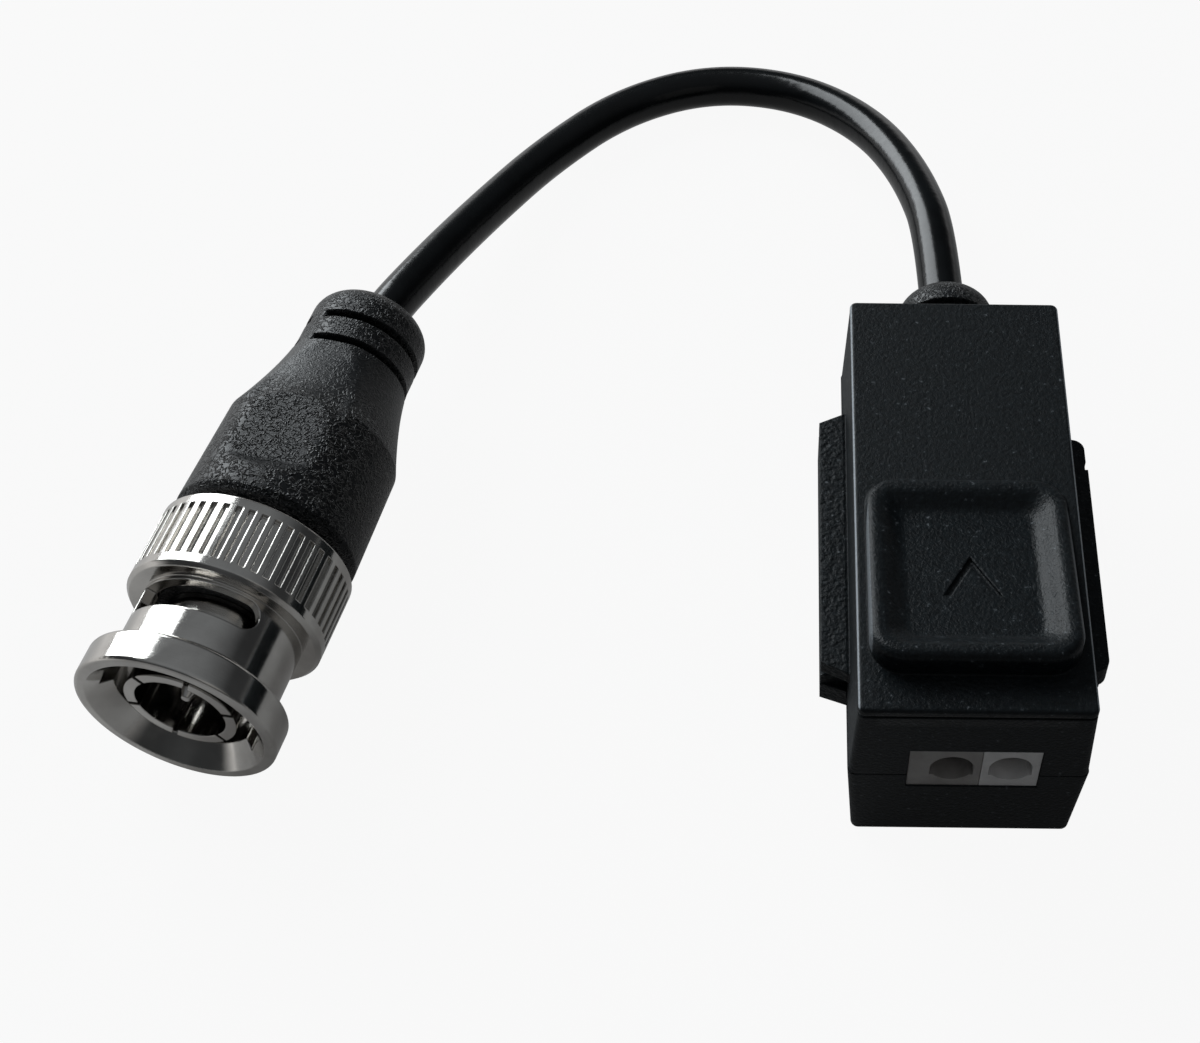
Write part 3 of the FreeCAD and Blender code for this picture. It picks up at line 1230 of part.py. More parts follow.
def build():
    lower_shell()
    upper_shell()
    slide_cover()
    terminal_end_plate()
    for index, side in enumerate(("left", "right")):
        terminal_module("terminal_module_" + side, index)
        contact_bar("contact_bar_" + side, index)
        clamp_spring("clamp_spring_" + side, index)
    circuit_board()
    choke_core()
    choke_winding()
    surge_size = ("surge_width", "surge_length", "surge_height")
    surge = on_board("surge_arrester", "(board_width / 4)", f"({CHIP_REAR} - surge_width / 2)", surge_size)
    keep(surge, "surge_arrester")
    row = f"({FRONT} + chip_place)"
    columns = [(f"({column} * chip_length - board_width / 4)", row) for column in (-1, 0, 1)]
    chip_group("chip_capacitors", columns[:2], ("chip_length", "chip_width", "chip_height"))
    chip_group("chip_resistors", columns[2:], ("chip_length", "chip_width", "chip_height / 2"))
    cover_spring()
    strain_relief()
    coax_core()
    coax_braid()
    cable()
    coupling_sleeve()
    plug_contact()
    plug_insulator()
    plug_pin()
    gasket_start = "body_flange_place - gasket_length - insulator_fit"
    ring("plug_gasket", "gasket_seat_radius + insulator_fit", "gasket_radius", gasket_start, "gasket_length")
    wave_washer()
    ring("thrust_washer", "wave_bore", "wave_radius + washer_fit", WASHER_PLACE, "washer_thickness")
    ring("retaining_ring", "ring_bore", "ring_radius", RING_PLACE, "ring_thickness",
         "360 - 180 * ring_gap / (pi * ring_radius)")
    crimp_ferrule()
    plug_boot()


build()
doc.recompute()
failed = [item.Name for item in doc.Objects if "Invalid" in item.State or "Error" in item.State]
broken = []
for piece in PIECES:
    if piece.Shape.isNull() or not piece.Shape.isValid() or not piece.Shape.Solids:
        broken.append(piece.Label)
if failed or broken:
    raise SystemExit(f"failed objects: {failed}, broken shapes: {broken}")
os.makedirs("parts", exist_ok=True)
for piece in PIECES:
    piece.Shape.exportStep(os.path.join("parts", piece.Label + ".step"))
print("pieces written:", len(PIECES))
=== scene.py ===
# %% [markdown]
# # A video balun with a short coaxial lead
# This file dresses a finished CAD part. The part comes in as a fixed frame, in metres, with +X to
# the right, +Y to the back and +Z up. Rigid pieces whose shape is right keep their CAD mesh and get
# a better finish. Soft pieces, such as the lead, its collar and the moulded boot, are made anew.

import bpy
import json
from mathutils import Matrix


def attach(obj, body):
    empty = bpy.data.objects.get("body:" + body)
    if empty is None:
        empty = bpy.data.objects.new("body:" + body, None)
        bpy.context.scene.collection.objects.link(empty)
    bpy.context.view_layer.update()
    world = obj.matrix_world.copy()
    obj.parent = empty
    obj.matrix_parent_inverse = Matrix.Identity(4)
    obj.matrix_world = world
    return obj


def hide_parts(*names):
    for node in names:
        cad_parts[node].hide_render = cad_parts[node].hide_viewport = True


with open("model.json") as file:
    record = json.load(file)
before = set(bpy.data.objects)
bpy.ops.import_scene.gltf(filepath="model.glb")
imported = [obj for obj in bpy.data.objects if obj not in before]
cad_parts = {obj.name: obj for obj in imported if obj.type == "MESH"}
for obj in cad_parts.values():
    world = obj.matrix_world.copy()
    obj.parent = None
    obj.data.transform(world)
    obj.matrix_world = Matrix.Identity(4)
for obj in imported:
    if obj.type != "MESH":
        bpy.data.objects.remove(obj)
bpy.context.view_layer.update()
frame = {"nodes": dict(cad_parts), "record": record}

# %% The libraries and the unit
import json
import math

import bpy
import numpy as np
from mathutils import Matrix

MM = 0.001

# %% [markdown]
# ## The camera
# The photograph looks down on the part at 53 degrees from in front of the housing. Its optical axis
# lies to the right of the frame's middle, because the picture was cut out of a wider one, and the
# camera's shift stands for that.

# %% The camera
PHOTO_WIDTH = 1200
AXIS_PIXEL = 770
FOCAL_PIXELS = 1953.64
SENSOR_WIDTH = 36.0
EYE = np.array([-13.353, -81.633, 121.583]) * MM
LOOK_DOWN = math.radians(53.28)
ROLL = math.radians(0.65)

camera_data = bpy.data.cameras.new("camera")
camera_data.sensor_width = SENSOR_WIDTH
camera_data.lens = SENSOR_WIDTH * FOCAL_PIXELS / PHOTO_WIDTH
camera_data.shift_x = 0.5 - AXIS_PIXEL / PHOTO_WIDTH
camera_data.clip_start = 0.01
camera = bpy.data.objects.new("camera", camera_data)
camera.location = EYE
tilt = Matrix.Rotation(math.pi / 2 - LOOK_DOWN, 3, "X")
camera.rotation_euler = (tilt @ Matrix.Rotation(ROLL, 3, "Z")).to_euler()
bpy.context.scene.collection.objects.link(camera)
bpy.context.scene.camera = camera
print("lens, mm:", round(camera_data.lens, 2), "shift:", round(camera_data.shift_x, 4))

# %% [markdown]
# ## Surfaces on a grid
# Every new piece is a grid of points whose rows run along the piece and whose columns run round it.
# Whole arrays make the grid. A piece with a bore closes both ways, like a ring, and a solid one gets
# a flat face at each end.


# %% Skins and steps
def skin(name, grid, has_bore=True):
    """A mesh from a grid: the columns meet themselves, and the rows meet themselves or end in faces."""
    rows, columns = grid.shape[:2]
    index = np.arange(rows * columns).reshape(rows, columns)
    right = np.roll(index, -1, axis=1)
    next_row, next_right = np.roll(index, -1, axis=0), np.roll(right, -1, axis=0)
    quads = np.stack([index, right, next_right, next_row], axis=-1)
    if has_bore:
        faces = quads.reshape(-1, 4).tolist()
    else:
        faces = quads[:-1].reshape(-1, 4).tolist() + [index[0, ::-1].tolist(), index[-1].tolist()]
    data = bpy.data.meshes.new(name)
    data.from_pydata(grid.reshape(-1, 3).tolist(), [], faces)
    data.shade_smooth()
    made = bpy.data.objects.new(name, data)
    bpy.context.scene.collection.objects.link(made)
    print(name, "faces:", len(data.polygons))
    return made


def between(value, start, end):
    """0 before start, 1 after end, and a smooth S-shaped step between them."""
    share = np.clip((value - start) / (end - start), 0, 1)
    return share * share * (3 - 2 * share)


def lower_of(first, second, crispness):
    """The smaller of two radii, with the edge between them a little rounded."""
    return (first ** -crispness + second ** -crispness) ** (-1 / crispness)


# %% [markdown]
# ## The lead
# A thin coaxial cable with a smooth black jacket. It leaves the collar straight, sinks to the table,
# runs round in a wide loop and rises into the boot. A cable keeps one smooth line, so
# its line is a NURBS curve with listed control points, and the jacket is a tube carried along it.

# %% The lead's line
LEAD_DIAMETER = 3.5 * MM
LEAD_COLUMNS = 56
LEAD_POINTS = np.array([
    (0.2, 12.975, 8.1), (0.2, 31.0, 8.1), (-1.6, 41.4, 6.2), (-5.2, 50.2, 4.0), (-11.5, 56.4, 2.3),
    (-19.6, 57.8, 1.8), (-27.3, 54.4, 1.8), (-33.4, 47.6, 2.1), (-37.7, 39.5, 3.6), (-41.3, 31.1, 5.6),
    (-44.65, 22.78, 7.22), (-45.518, 19.205, 7.22),
]) * MM

line_data = bpy.data.curves.new("lead_line", "CURVE")
line_data.dimensions = "3D"
spline = line_data.splines.new("NURBS")
spline.points.add(len(LEAD_POINTS) - 1)
for point, place in zip(spline.points, LEAD_POINTS):
    point.co = (*place, 1.0)
spline.order_u = 3
spline.use_endpoint_u = True
spline.resolution_u = 24
line_object = bpy.data.objects.new("lead_line", line_data)
bpy.context.scene.collection.objects.link(line_object)
line_mesh = bpy.data.meshes.new_from_object(line_object)
line = np.array([vertex.co for vertex in line_mesh.vertices])
bpy.data.objects.remove(line_object)

# %% The jacket
heading = np.gradient(line, axis=0)
heading /= np.linalg.norm(heading, axis=1)[:, None]
beside = np.cross(heading, (0.0, 0.0, 1.0))
beside /= np.linalg.norm(beside, axis=1)[:, None]
above = np.cross(beside, heading)
turned = np.linspace(0, 2 * np.pi, LEAD_COLUMNS, endpoint=False)[None, :, None]
ring = np.cos(turned) * beside[:, None] - np.sin(turned) * above[:, None]
lead = skin("lead_jacket", line[:, None] + LEAD_DIAMETER / 2 * ring, has_bore=False)
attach(lead, "housing")
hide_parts("cable")

# %% [markdown]
# ## The collar
# A grommet of soft rubber with a fine grain. Its flange sits inside the back wall, its neck fills
# the hole, and a long domed collar outside keeps the lead from kinking. A slot above and one below
# let it bend. It is a profile of radius against depth, turned about the lead, and the slots are
# taken off that radius. The inner wall follows the lead's own line.

# %% The collar
COLLAR_COLUMNS = 160
COLLAR_RADIUS, COLLAR_END = 3.8, 24.6
DOME = 2.0
FLEX_HALF, FLEX_DEPTH = 0.325, 0.75
COLLAR_SLOT = 21.5
COLLAR_SWEEP = math.radians(60.0)
COLLAR_SIDE, COLLAR_REACH = -5 * MM, 40 * MM
slot_rows = FLEX_HALF * np.array([-1.3, -1.12, -1, -0.9, -0.8, 0, 0.8, 0.9, 1, 1.12, 1.3])
INSIDE_WALL = np.array([
    (15.275, 1.75), (15.275, 3.76), (15.31, 3.86), (15.4, 3.9), (16.15, 3.9), (16.24, 3.86),
    (16.275, 3.76), (16.275, 3.1), (17.94, 3.1), (17.975, 3.15), (17.985, 3.55), (18.03, 3.7),
    (18.15, 3.78),
])
dome_rows = COLLAR_END - DOME + DOME * np.sin(np.linspace(0, np.pi / 2, 15))
outside_rows = np.sort(np.concatenate([np.linspace(18.4, 22.5, 9), COLLAR_SLOT + slot_rows]))
dome_radius = 1.9 + 1.9 * np.cos(np.linspace(0, np.pi / 2, 15))
profile = np.concatenate([
    INSIDE_WALL,
    np.stack([outside_rows, np.full_like(outside_rows, COLLAR_RADIUS)], axis=1),
    np.stack([dome_rows, dome_radius], axis=1),
    [(24.55, 1.8), (24.45, 1.76), (23.0, 1.75), (20.5, 1.75), (18.0, 1.75)],
])


def follow_lead(depth):
    """Sideways and upward place of the lead's line beside the housing, at these depths."""
    near = line[(line[:, 0] > COLLAR_SIDE) & (line[:, 1] < COLLAR_REACH)]
    return np.interp(depth, near[:, 1], near[:, 0]), np.interp(depth, near[:, 1], near[:, 2])


def slot_share(along, angle, place, middle, sweep, radius):
    """1 inside a pair of slots across from each other, 0 outside, with softly rounded edges."""
    across = 1 - between(np.abs(along - place), 0.85 * FLEX_HALF, 1.1 * FLEX_HALF)
    off = np.abs(np.angle(np.exp(2j * (angle - middle)))) / 2
    return across * (1 - between((off - sweep) * radius, -0.15, 0.15))


turned = np.linspace(0, 2 * np.pi, COLLAR_COLUMNS, endpoint=False)
depth, angle = np.meshgrid(profile[:, 0], turned, indexing="ij")
radius = np.repeat(profile[:, 1:], COLLAR_COLUMNS, axis=1)
in_slot = slot_share(depth, angle, COLLAR_SLOT, math.pi / 2, COLLAR_SWEEP, COLLAR_RADIUS)
radius = radius - FLEX_DEPTH * in_slot * (radius > 2)
lead_x, lead_z = follow_lead(depth * MM)
near_lead = 1 - between(radius, 1.8, 2.4)
own_x, own_z = LEAD_POINTS[0, 0], LEAD_POINTS[0, 2]
collar_grid = np.stack([
    own_x + near_lead * (lead_x - own_x) + radius * MM * np.cos(angle),
    depth * MM,
    own_z + near_lead * (lead_z - own_z) + radius * MM * np.sin(angle),
], axis=-1)
collar = skin("rubber_collar", collar_grid)
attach(collar, "housing")
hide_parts("strain_relief")

# %% [markdown]
# ## The boot
# A moulding of soft, leather-grained plastic over the rear of the plug: a barrel, a crisp corner, a
# hollow cone and a tail with slots that let it flex. Above and below it is pressed flat for finger
# and thumb. The outside is a radius for each place along the axis and each angle round it, so flats
# and slots are simple cuts in that radius.

# %% The plug's own frame
PLUG_MOUTH = np.array([-53.53, -13.735, 7.22])
PLUG_TURN = math.radians(13.67)
AXIS = np.array([math.sin(PLUG_TURN), math.cos(PLUG_TURN), 0.0])
ACROSS = np.array([math.cos(PLUG_TURN), -math.sin(PLUG_TURN), 0.0])
UP = np.array([0.0, 0.0, 1.0])


def on_plug(along, out, angle):
    """Points of the part, from millimetres along the plug's axis and out from it, and an angle."""
    side = np.cos(angle)[..., None] * ACROSS + np.sin(angle)[..., None] * UP
    return (PLUG_MOUTH + along[..., None] * AXIS + out[..., None] * side) * MM


# %% The boot's outside
BOOT_START, BOOT_END = 15.2, 38.1
FRONT_RADIUS, BARREL_RADIUS, CORNER_RADIUS, TAIL_RADIUS = 6.5, 6.85, 6.62, 4.6
BARREL_END, TAIL_START = 24.4, 32.6
CONE_HOLLOW = 1.45
END_DOME = 2.2
FRONT_LIP = 0.45
OPENING_RADIUS = 1.8
GRIP_START, GRIP_RAMP, GRIP_END, GRIP_FADE = 17.0, 1.85, 24.9, 30.2
GRIP_LEVEL = 5.92
GRIP_ARC = 0.14
FLAT_CRISPNESS = 60.0
FACET_HOLLOW = 0.6
BOOT_SLOTS = (31.675, 34.175)
BOOT_SWEEP = math.radians(78.5)
SLOT_MIDDLE = math.radians(37.0)
SLOT_FLOOR = 3.35


def turned_radius(along):
    """The boot without its flats: a slightly tapering barrel, a hollow cone, a tail and a dome."""
    from_start = (along - BOOT_START) / (BARREL_END - BOOT_START)
    barrel = BARREL_RADIUS + (CORNER_RADIUS - BARREL_RADIUS) * from_start
    to_tail = np.clip((TAIL_START - along) / (TAIL_START - BARREL_END), 0, 1)
    cone = TAIL_RADIUS + (CORNER_RADIUS - TAIL_RADIUS) * to_tail ** CONE_HOLLOW
    outline = np.where(along < BARREL_END, barrel, cone)
    past_lip = between(along, BOOT_START, BOOT_START + FRONT_LIP)
    outline = outline - (BARREL_RADIUS - FRONT_RADIUS) * (1 - past_lip)
    over = np.clip((along - BOOT_END + END_DOME) / END_DOME, 0, 1)
    return outline - (TAIL_RADIUS - OPENING_RADIUS) * (1 - np.sqrt(1 - over * over))


def boot_radius(along, angle):
    """The turned outline, less the two flats and the two rows of slots."""
    steep = np.maximum(np.abs(np.sin(angle)), 0.3)
    pressed = between(along, GRIP_START, GRIP_START + GRIP_RAMP)
    level = BARREL_RADIUS - (BARREL_RADIUS - GRIP_LEVEL) * pressed
    beside_middle = level * np.cos(angle) / steep
    arc = GRIP_END - GRIP_ARC * np.minimum(beside_middle ** 2, 12)
    fall = np.clip((along - arc) / (GRIP_FADE - GRIP_END), 0, 1) ** FACET_HOLLOW
    level = level - (GRIP_LEVEL - TAIL_RADIUS) * fall
    out = lower_of(turned_radius(along), level / steep, FLAT_CRISPNESS)
    for place in BOOT_SLOTS:
        share = slot_share(along, angle, place, SLOT_MIDDLE, BOOT_SWEEP, TAIL_RADIUS)
        out = out - share * np.maximum(out - SLOT_FLOOR, 0)
    return out


TAIL_BORE = 33.9
HELD_RADIUS = 3.2
PLUG_SIDE = -30 * MM


def round_lead(along, out, angle):
    """Points on the boot; where it closes on the lead, its opening is centred on the lead's line."""
    from_mouth = line / MM - PLUG_MOUTH
    order = np.argsort(from_mouth @ AXIS)
    held = order[(from_mouth @ AXIS)[order] > TAIL_BORE]
    held = held[line[held, 0] < PLUG_SIDE]
    reach = from_mouth[held] @ AXIS
    near_lead = 1 - between(out, OPENING_RADIUS, HELD_RADIUS)
    sideways = near_lead * np.interp(along, reach, from_mouth[held] @ ACROSS)
    upward = near_lead * np.interp(along, reach, from_mouth[held] @ UP)
    return on_plug(along, out, angle) + (sideways[..., None] * ACROSS + upward[..., None] * UP) * MM


# %% The boot
BOOT_COLUMNS = 300
boot_rows = np.unique(np.round(np.concatenate([
    BOOT_START + np.array([0, 0.06, 0.12, 0.2, 0.28, 0.36, 0.45]), np.arange(15.9, 24.2, 0.2),
    BARREL_END + np.array([-0.2, -0.1, -0.04, 0, 0.04, 0.1, 0.2]), np.arange(24.7, 35.8, 0.2),
    BOOT_SLOTS[0] + slot_rows, BOOT_SLOTS[1] + slot_rows,
    BOOT_END - END_DOME + END_DOME * np.sin(np.linspace(0, np.pi / 2, 20)),
]), 3))
angles = np.linspace(0, 2 * np.pi, BOOT_COLUMNS, endpoint=False)
along, angle = np.meshgrid(boot_rows, angles, indexing="ij")
outside = round_lead(along, boot_radius(along, angle), angle)
BORE = np.array([
    (37.9, 1.75), (37.0, 1.75), (35.5, 1.75), (33.92, 1.75), (33.92, 2.64), (19.0, 2.64), (17.1, 3.92),
    (17.02, 3.92), (17.02, 4.42), (15.2, 4.42),
])
along, angle = np.meshgrid(BORE[:, 0], angles, indexing="ij")
bore = round_lead(along, np.repeat(BORE[:, 1:], BOOT_COLUMNS, axis=1), angle)
boot = skin("moulded_boot", np.concatenate([outside, bore])[:, ::-1])
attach(boot, "housing")
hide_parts("plug_boot")

# %% [markdown]
# ## Finishes
# Each finish is a node material. Object coordinates are metres here, so a noise of scale 5000 has
# grains of a fifth of a millimetre.


# %% Helpers for node materials
def new_finish(name, **sockets):
    """A material whose shader has these socket values."""
    material = bpy.data.materials.new(name)
    material.use_nodes = True
    shader = material.node_tree.nodes["Principled BSDF"]
    for socket, value in sockets.items():
        shader.inputs[socket.replace("_", " ")].default_value = value
    return material


def add_node(material, kind, **settings):
    """A node of this kind, with attributes or input values set by name."""
    node = material.node_tree.nodes.new(kind)
    for key, value in settings.items():
        if key in node.inputs:
            node.inputs[key].default_value = value
        else:
            setattr(node, key, value)
    return node


def link(material, output, target):
    """Joins an output socket to an input socket."""
    material.node_tree.links.new(output, target)


def shader_of(material):
    """The one shader node that the finish ends in."""
    return material.node_tree.nodes["Principled BSDF"]


def place_of(material):
    """Object coordinates, the same for every piece because each sits at the origin."""
    return add_node(material, "ShaderNodeTexCoord").outputs["Object"]


def noise(material, where, scale, detail=2.0, rough=0.5):
    """A cloudy pattern with about this many grains a metre."""
    node = add_node(material, "ShaderNodeTexNoise", Scale=scale, Detail=detail, Roughness=rough)
    link(material, where, node.inputs["Vector"])
    return node.outputs["Fac"]


def graded(tree, source, low, high, to_low, to_high):
    """A value that runs from one level to another as its source rises, and stays within them."""
    node = tree.nodes.new("ShaderNodeMapRange")
    node.inputs["From Min"].default_value = low
    node.inputs["From Max"].default_value = high
    node.inputs["To Min"].default_value = to_low
    node.inputs["To Max"].default_value = to_high
    tree.links.new(source, node.inputs["Value"])
    return node.outputs["Result"]


def remap(material, source, low, high, to_low, to_high):
    """The same in the nodes of a finish."""
    return graded(material.node_tree, source, low, high, to_low, to_high)


def set_gloss(material, source, low, high, to_low, to_high):
    """The roughness runs from one level to another as the source rises."""
    rough = remap(material, source, low, high, to_low, to_high)
    link(material, rough, shader_of(material).inputs["Roughness"])


def tint(material, source, first, second, highlight_and_dust_colour=None, low=0.35, high=0.65):
    """The base colour runs from the first to the second as the source rises, and then to a third colour
    if one is given; on the housing that is a painted highlight and pale dust.
    """
    node = add_node(material, "ShaderNodeValToRGB")
    node.color_ramp.elements[0].position = low
    node.color_ramp.elements[1].position = high
    node.color_ramp.elements[0].color = (*first, 1)
    node.color_ramp.elements[1].color = (*second, 1)
    if highlight_and_dust_colour is not None:
        node.color_ramp.elements.new(1.0).color = (*highlight_and_dust_colour, 1)
    link(material, source, node.inputs["Fac"])
    link(material, node.outputs["Color"], shader_of(material).inputs["Base Color"])


def multiply(material, first, second):
    """The product of two values."""
    node = add_node(material, "ShaderNodeMath", operation="MULTIPLY")
    link(material, first, node.inputs[0])
    link(material, second, node.inputs[1])
    return node.outputs["Value"]


def relief(material, height, distance, below=None):
    """Bump of this height, in metres, on top of another bump or a softened edge if there is one."""
    node = add_node(material, "ShaderNodeBump", Distance=distance)
    link(material, height, node.inputs["Height"])
    if below is not None:
        link(material, below.outputs["Normal"], node.inputs["Normal"])
    link(material, node.outputs["Normal"], shader_of(material).inputs["Normal"])
    return node


def soft_edge(material, radius):
    """Normals that turn round each sharp edge over this radius, so the edge catches the light."""
    return add_node(material, "ShaderNodeBevel", samples=6, Radius=radius)


def specks(material, where, scale, size):
    """A pale dot, this large in cells, in about one cell in six."""
    cells = add_node(material, "ShaderNodeTexVoronoi", feature="F1", Scale=scale)
    link(material, where, cells.inputs["Vector"])
    dots = remap(material, cells.outputs["Distance"], size, 0.4 * size, 0.0, 1.0)
    pick = add_node(material, "ShaderNodeSeparateXYZ")
    link(material, cells.outputs["Color"], pick.inputs["Vector"])
    return multiply(material, dots, remap(material, pick.outputs["X"], 0.84, 0.85, 0.0, 1.0))


def larger(material, first, second):
    """The larger of two values."""
    node = add_node(material, "ShaderNodeMath", operation="MAXIMUM")
    link(material, first, node.inputs[0])
    link(material, second, node.inputs[1])
    return node.outputs["Value"]


# %% [markdown]
# ### Spark-eroded housing plastic
# The mould of the housing was finished by spark erosion, which leaves an even, matt, sandy skin.
# Two noises give the coarse and the fine grain, the rails are coarser still, and the thumb pad is
# smoother.
# The cover's edges and the pad's rims are smoother too and carry a pale painted highlight line. The
# part's own coordinates say where these are. A few pale dust specks lie on it.

# %% Housing
abs_black = new_finish("housing_plastic", Specular_IOR_Level=0.13)
where = place_of(abs_black)
sides = add_node(abs_black, "ShaderNodeSeparateXYZ")
link(abs_black, where, sides.inputs["Vector"])
outwards = add_node(abs_black, "ShaderNodeMath", operation="ABSOLUTE")
link(abs_black, sides.outputs["X"], outwards.inputs[0])


def housing_part(coordinate, start, end):
    """1 where this coordinate is past the end, 0 before the start, for places on the housing."""
    return remap(abs_black, coordinate, start * MM, end * MM, 0.0, 1.0)


# The cover's edges and the pad's rims get a pale painted highlight in the base colour and a lower
# roughness; the dust specks share that pale colour.
EDGE_ACROSS, EDGE_HEIGHT = (7.42, 7.55), (15.55, 15.7)
RIM_ACROSS, RIM_HEIGHT = (6.35, 6.75), (15.95, 16.15)
across, height = outwards.outputs["Value"], sides.outputs["Z"]
cover_edge_highlight = multiply(abs_black, housing_part(across, *EDGE_ACROSS), housing_part(height, *EDGE_HEIGHT))
pad_rim_highlight = multiply(abs_black, housing_part(across, *RIM_ACROSS), housing_part(height, *RIM_HEIGHT))
painted_highlight_lines = larger(abs_black, cover_edge_highlight, pad_rim_highlight)
rim_highlight_and_dust = larger(abs_black, pad_rim_highlight, specks(abs_black, where, 900, 0.06))
highlights_and_dust = larger(abs_black, cover_edge_highlight, remap(abs_black, rim_highlight_and_dust, 0.0, 1.0, 0.0, 0.78))
# Base colour: a random mottle, then the pale painted highlight lines and the pale dust specks.
tint(abs_black, larger(abs_black, noise(abs_black, where, 2400, 3, 0.6), highlights_and_dust),
     (0.0022, 0.0034, 0.0042), (0.0055, 0.0080, 0.0095), highlight_and_dust_colour=(0.25, 0.27, 0.29))
grain = noise(abs_black, where, 4200, 2, 0.6)
coarse = relief(abs_black, grain, 0.00006, soft_edge(abs_black, 0.0002))
fine = relief(abs_black, noise(abs_black, where, 14000, 2, 0.6), 0.000015, coarse)

# %% The rails' coarser skin and the smooth thumb pad
RAIL_ACROSS = (7.9, 8.1)
DISH_ACROSS, DISH_FRONT, DISH_HEIGHT = (6.6, 6.2), (1.2, 0.4), (14.0, 14.2)
rail_grain = multiply(abs_black, noise(abs_black, where, 2600, 1), housing_part(across, *RAIL_ACROSS))
relief(abs_black, rail_grain, 0.00012, fine)
in_front = housing_part(sides.outputs["Y"], *DISH_FRONT)
in_dish = multiply(abs_black, housing_part(across, *DISH_ACROSS), in_front)
on_pad = multiply(abs_black, in_dish, housing_part(height, *DISH_HEIGHT))
set_gloss(abs_black, larger(abs_black, on_pad, painted_highlight_lines), 0.0, 1.0, 0.52, 0.36)
print("housing finish nodes:", len(abs_black.node_tree.nodes))

# %% [markdown]
# ### Plain moulded parts
# The two terminals are one plastic in two greys, and the parts inside are laminate, ferrite and
# moulded solids. They all have a faint mottle, an uneven gloss and a fine grain, so one function
# makes them, with its scales as arguments.


# %% Plain moulded parts
def plain_solid(name, dark, light, rough, grain_scale, grain_height, mottle=900, gloss=1500):
    """A moulded, fired or laminated solid with a faint mottle, an uneven gloss and a grain."""
    material = new_finish(name, Specular_IOR_Level=0.4)
    where = place_of(material)
    tint(material, noise(material, where, mottle, 3), dark, light)
    set_gloss(material, noise(material, where, gloss), 0.3, 0.7, rough - 0.05, rough + 0.05)
    relief(material, noise(material, where, grain_scale), grain_height)
    print(name, "nodes:", len(material.node_tree.nodes))
    return material


terminal_grey = plain_solid("terminal_plastic", (0.23, 0.215, 0.205), (0.28, 0.265, 0.255),
                            0.45, 9000, 0.00002, mottle=700, gloss=400)
terminal_pale = plain_solid("terminal_plastic_light", (0.56, 0.545, 0.535), (0.64, 0.625, 0.615),
                            0.45, 9000, 0.00002, mottle=700, gloss=400)
laminate = plain_solid("board_laminate", (0.010, 0.075, 0.030), (0.016, 0.095, 0.040),
                       0.38, 5000, 0.00001)
ferrite = plain_solid("ferrite", (0.020, 0.020, 0.021), (0.035, 0.034, 0.034), 0.7, 6000, 0.00003)
chip_black = plain_solid("chip_black", (0.012, 0.012, 0.013), (0.020, 0.020, 0.021),
                         0.45, 8000, 0.00001)
chip_tan = plain_solid("chip_tan", (0.22, 0.15, 0.08), (0.28, 0.20, 0.11), 0.55, 8000, 0.00001)
insulator = plain_solid("insulator_plastic", (0.010, 0.010, 0.011), (0.016, 0.016, 0.017),
                        0.5, 7000, 0.00001)

# %% [markdown]
# ### Rubber, jacket and boot
# The collar is dull rubber, the jacket is smooth and shiny, and the boot has a leather grain whose
# ridges shine. The ridges lie where a bent noise passes its middle value, so they wander like
# wrinkles, and they are strong on the barrel and faint on the cone.


# %% Ridges, and places along the plug
def wrinkles(material, where, scale, width):
    """Thin ridges that wander: 1 where a noise passes its middle, 0 further off than the width."""
    bent = add_node(material, "ShaderNodeTexNoise", Scale=scale, Detail=1.5, Roughness=0.6,
                    Distortion=0.5)
    link(material, where, bent.inputs["Vector"])
    off = add_node(material, "ShaderNodeMath", operation="SUBTRACT")
    off.inputs[1].default_value = 0.5
    link(material, bent.outputs["Fac"], off.inputs[0])
    size = add_node(material, "ShaderNodeMath", operation="ABSOLUTE")
    link(material, off.outputs["Value"], size.inputs[0])
    return remap(material, size.outputs["Value"], 0.0, width, 1.0, 0.0)


def in_plug_frame(material, where):
    """The place measured from the plug's mouth: X across, Y along its axis, Z up."""
    lay = add_node(material, "ShaderNodeMapping", vector_type="TEXTURE")
    lay.inputs["Location"].default_value = PLUG_MOUTH * MM
    lay.inputs["Rotation"].default_value = (0, 0, -PLUG_TURN)
    link(material, where, lay.inputs["Vector"])
    parts = add_node(material, "ShaderNodeSeparateXYZ")
    link(material, lay.outputs["Vector"], parts.inputs["Vector"])
    return parts


# %% The collar's rubber and the lead's jacket
rubber = new_finish("collar_rubber", Roughness=0.36, Specular_IOR_Level=0.25)
where = place_of(rubber)
tint(rubber, noise(rubber, where, 1500, 3), (0.0022, 0.0032, 0.0038), (0.0045, 0.0060, 0.0070))
relief(rubber, wrinkles(rubber, where, 3000, 0.10), 0.00005)

jacket = new_finish("lead_jacket", Roughness=0.2, Specular_IOR_Level=0.2)
where = place_of(jacket)
tint(jacket, noise(jacket, where, 300, 3), (0.0016, 0.0021, 0.0024), (0.0032, 0.0040, 0.0046))
relief(jacket, noise(jacket, where, 900, 2), 0.00003)
print("rubber and jacket nodes:", len(rubber.node_tree.nodes), len(jacket.node_tree.nodes))

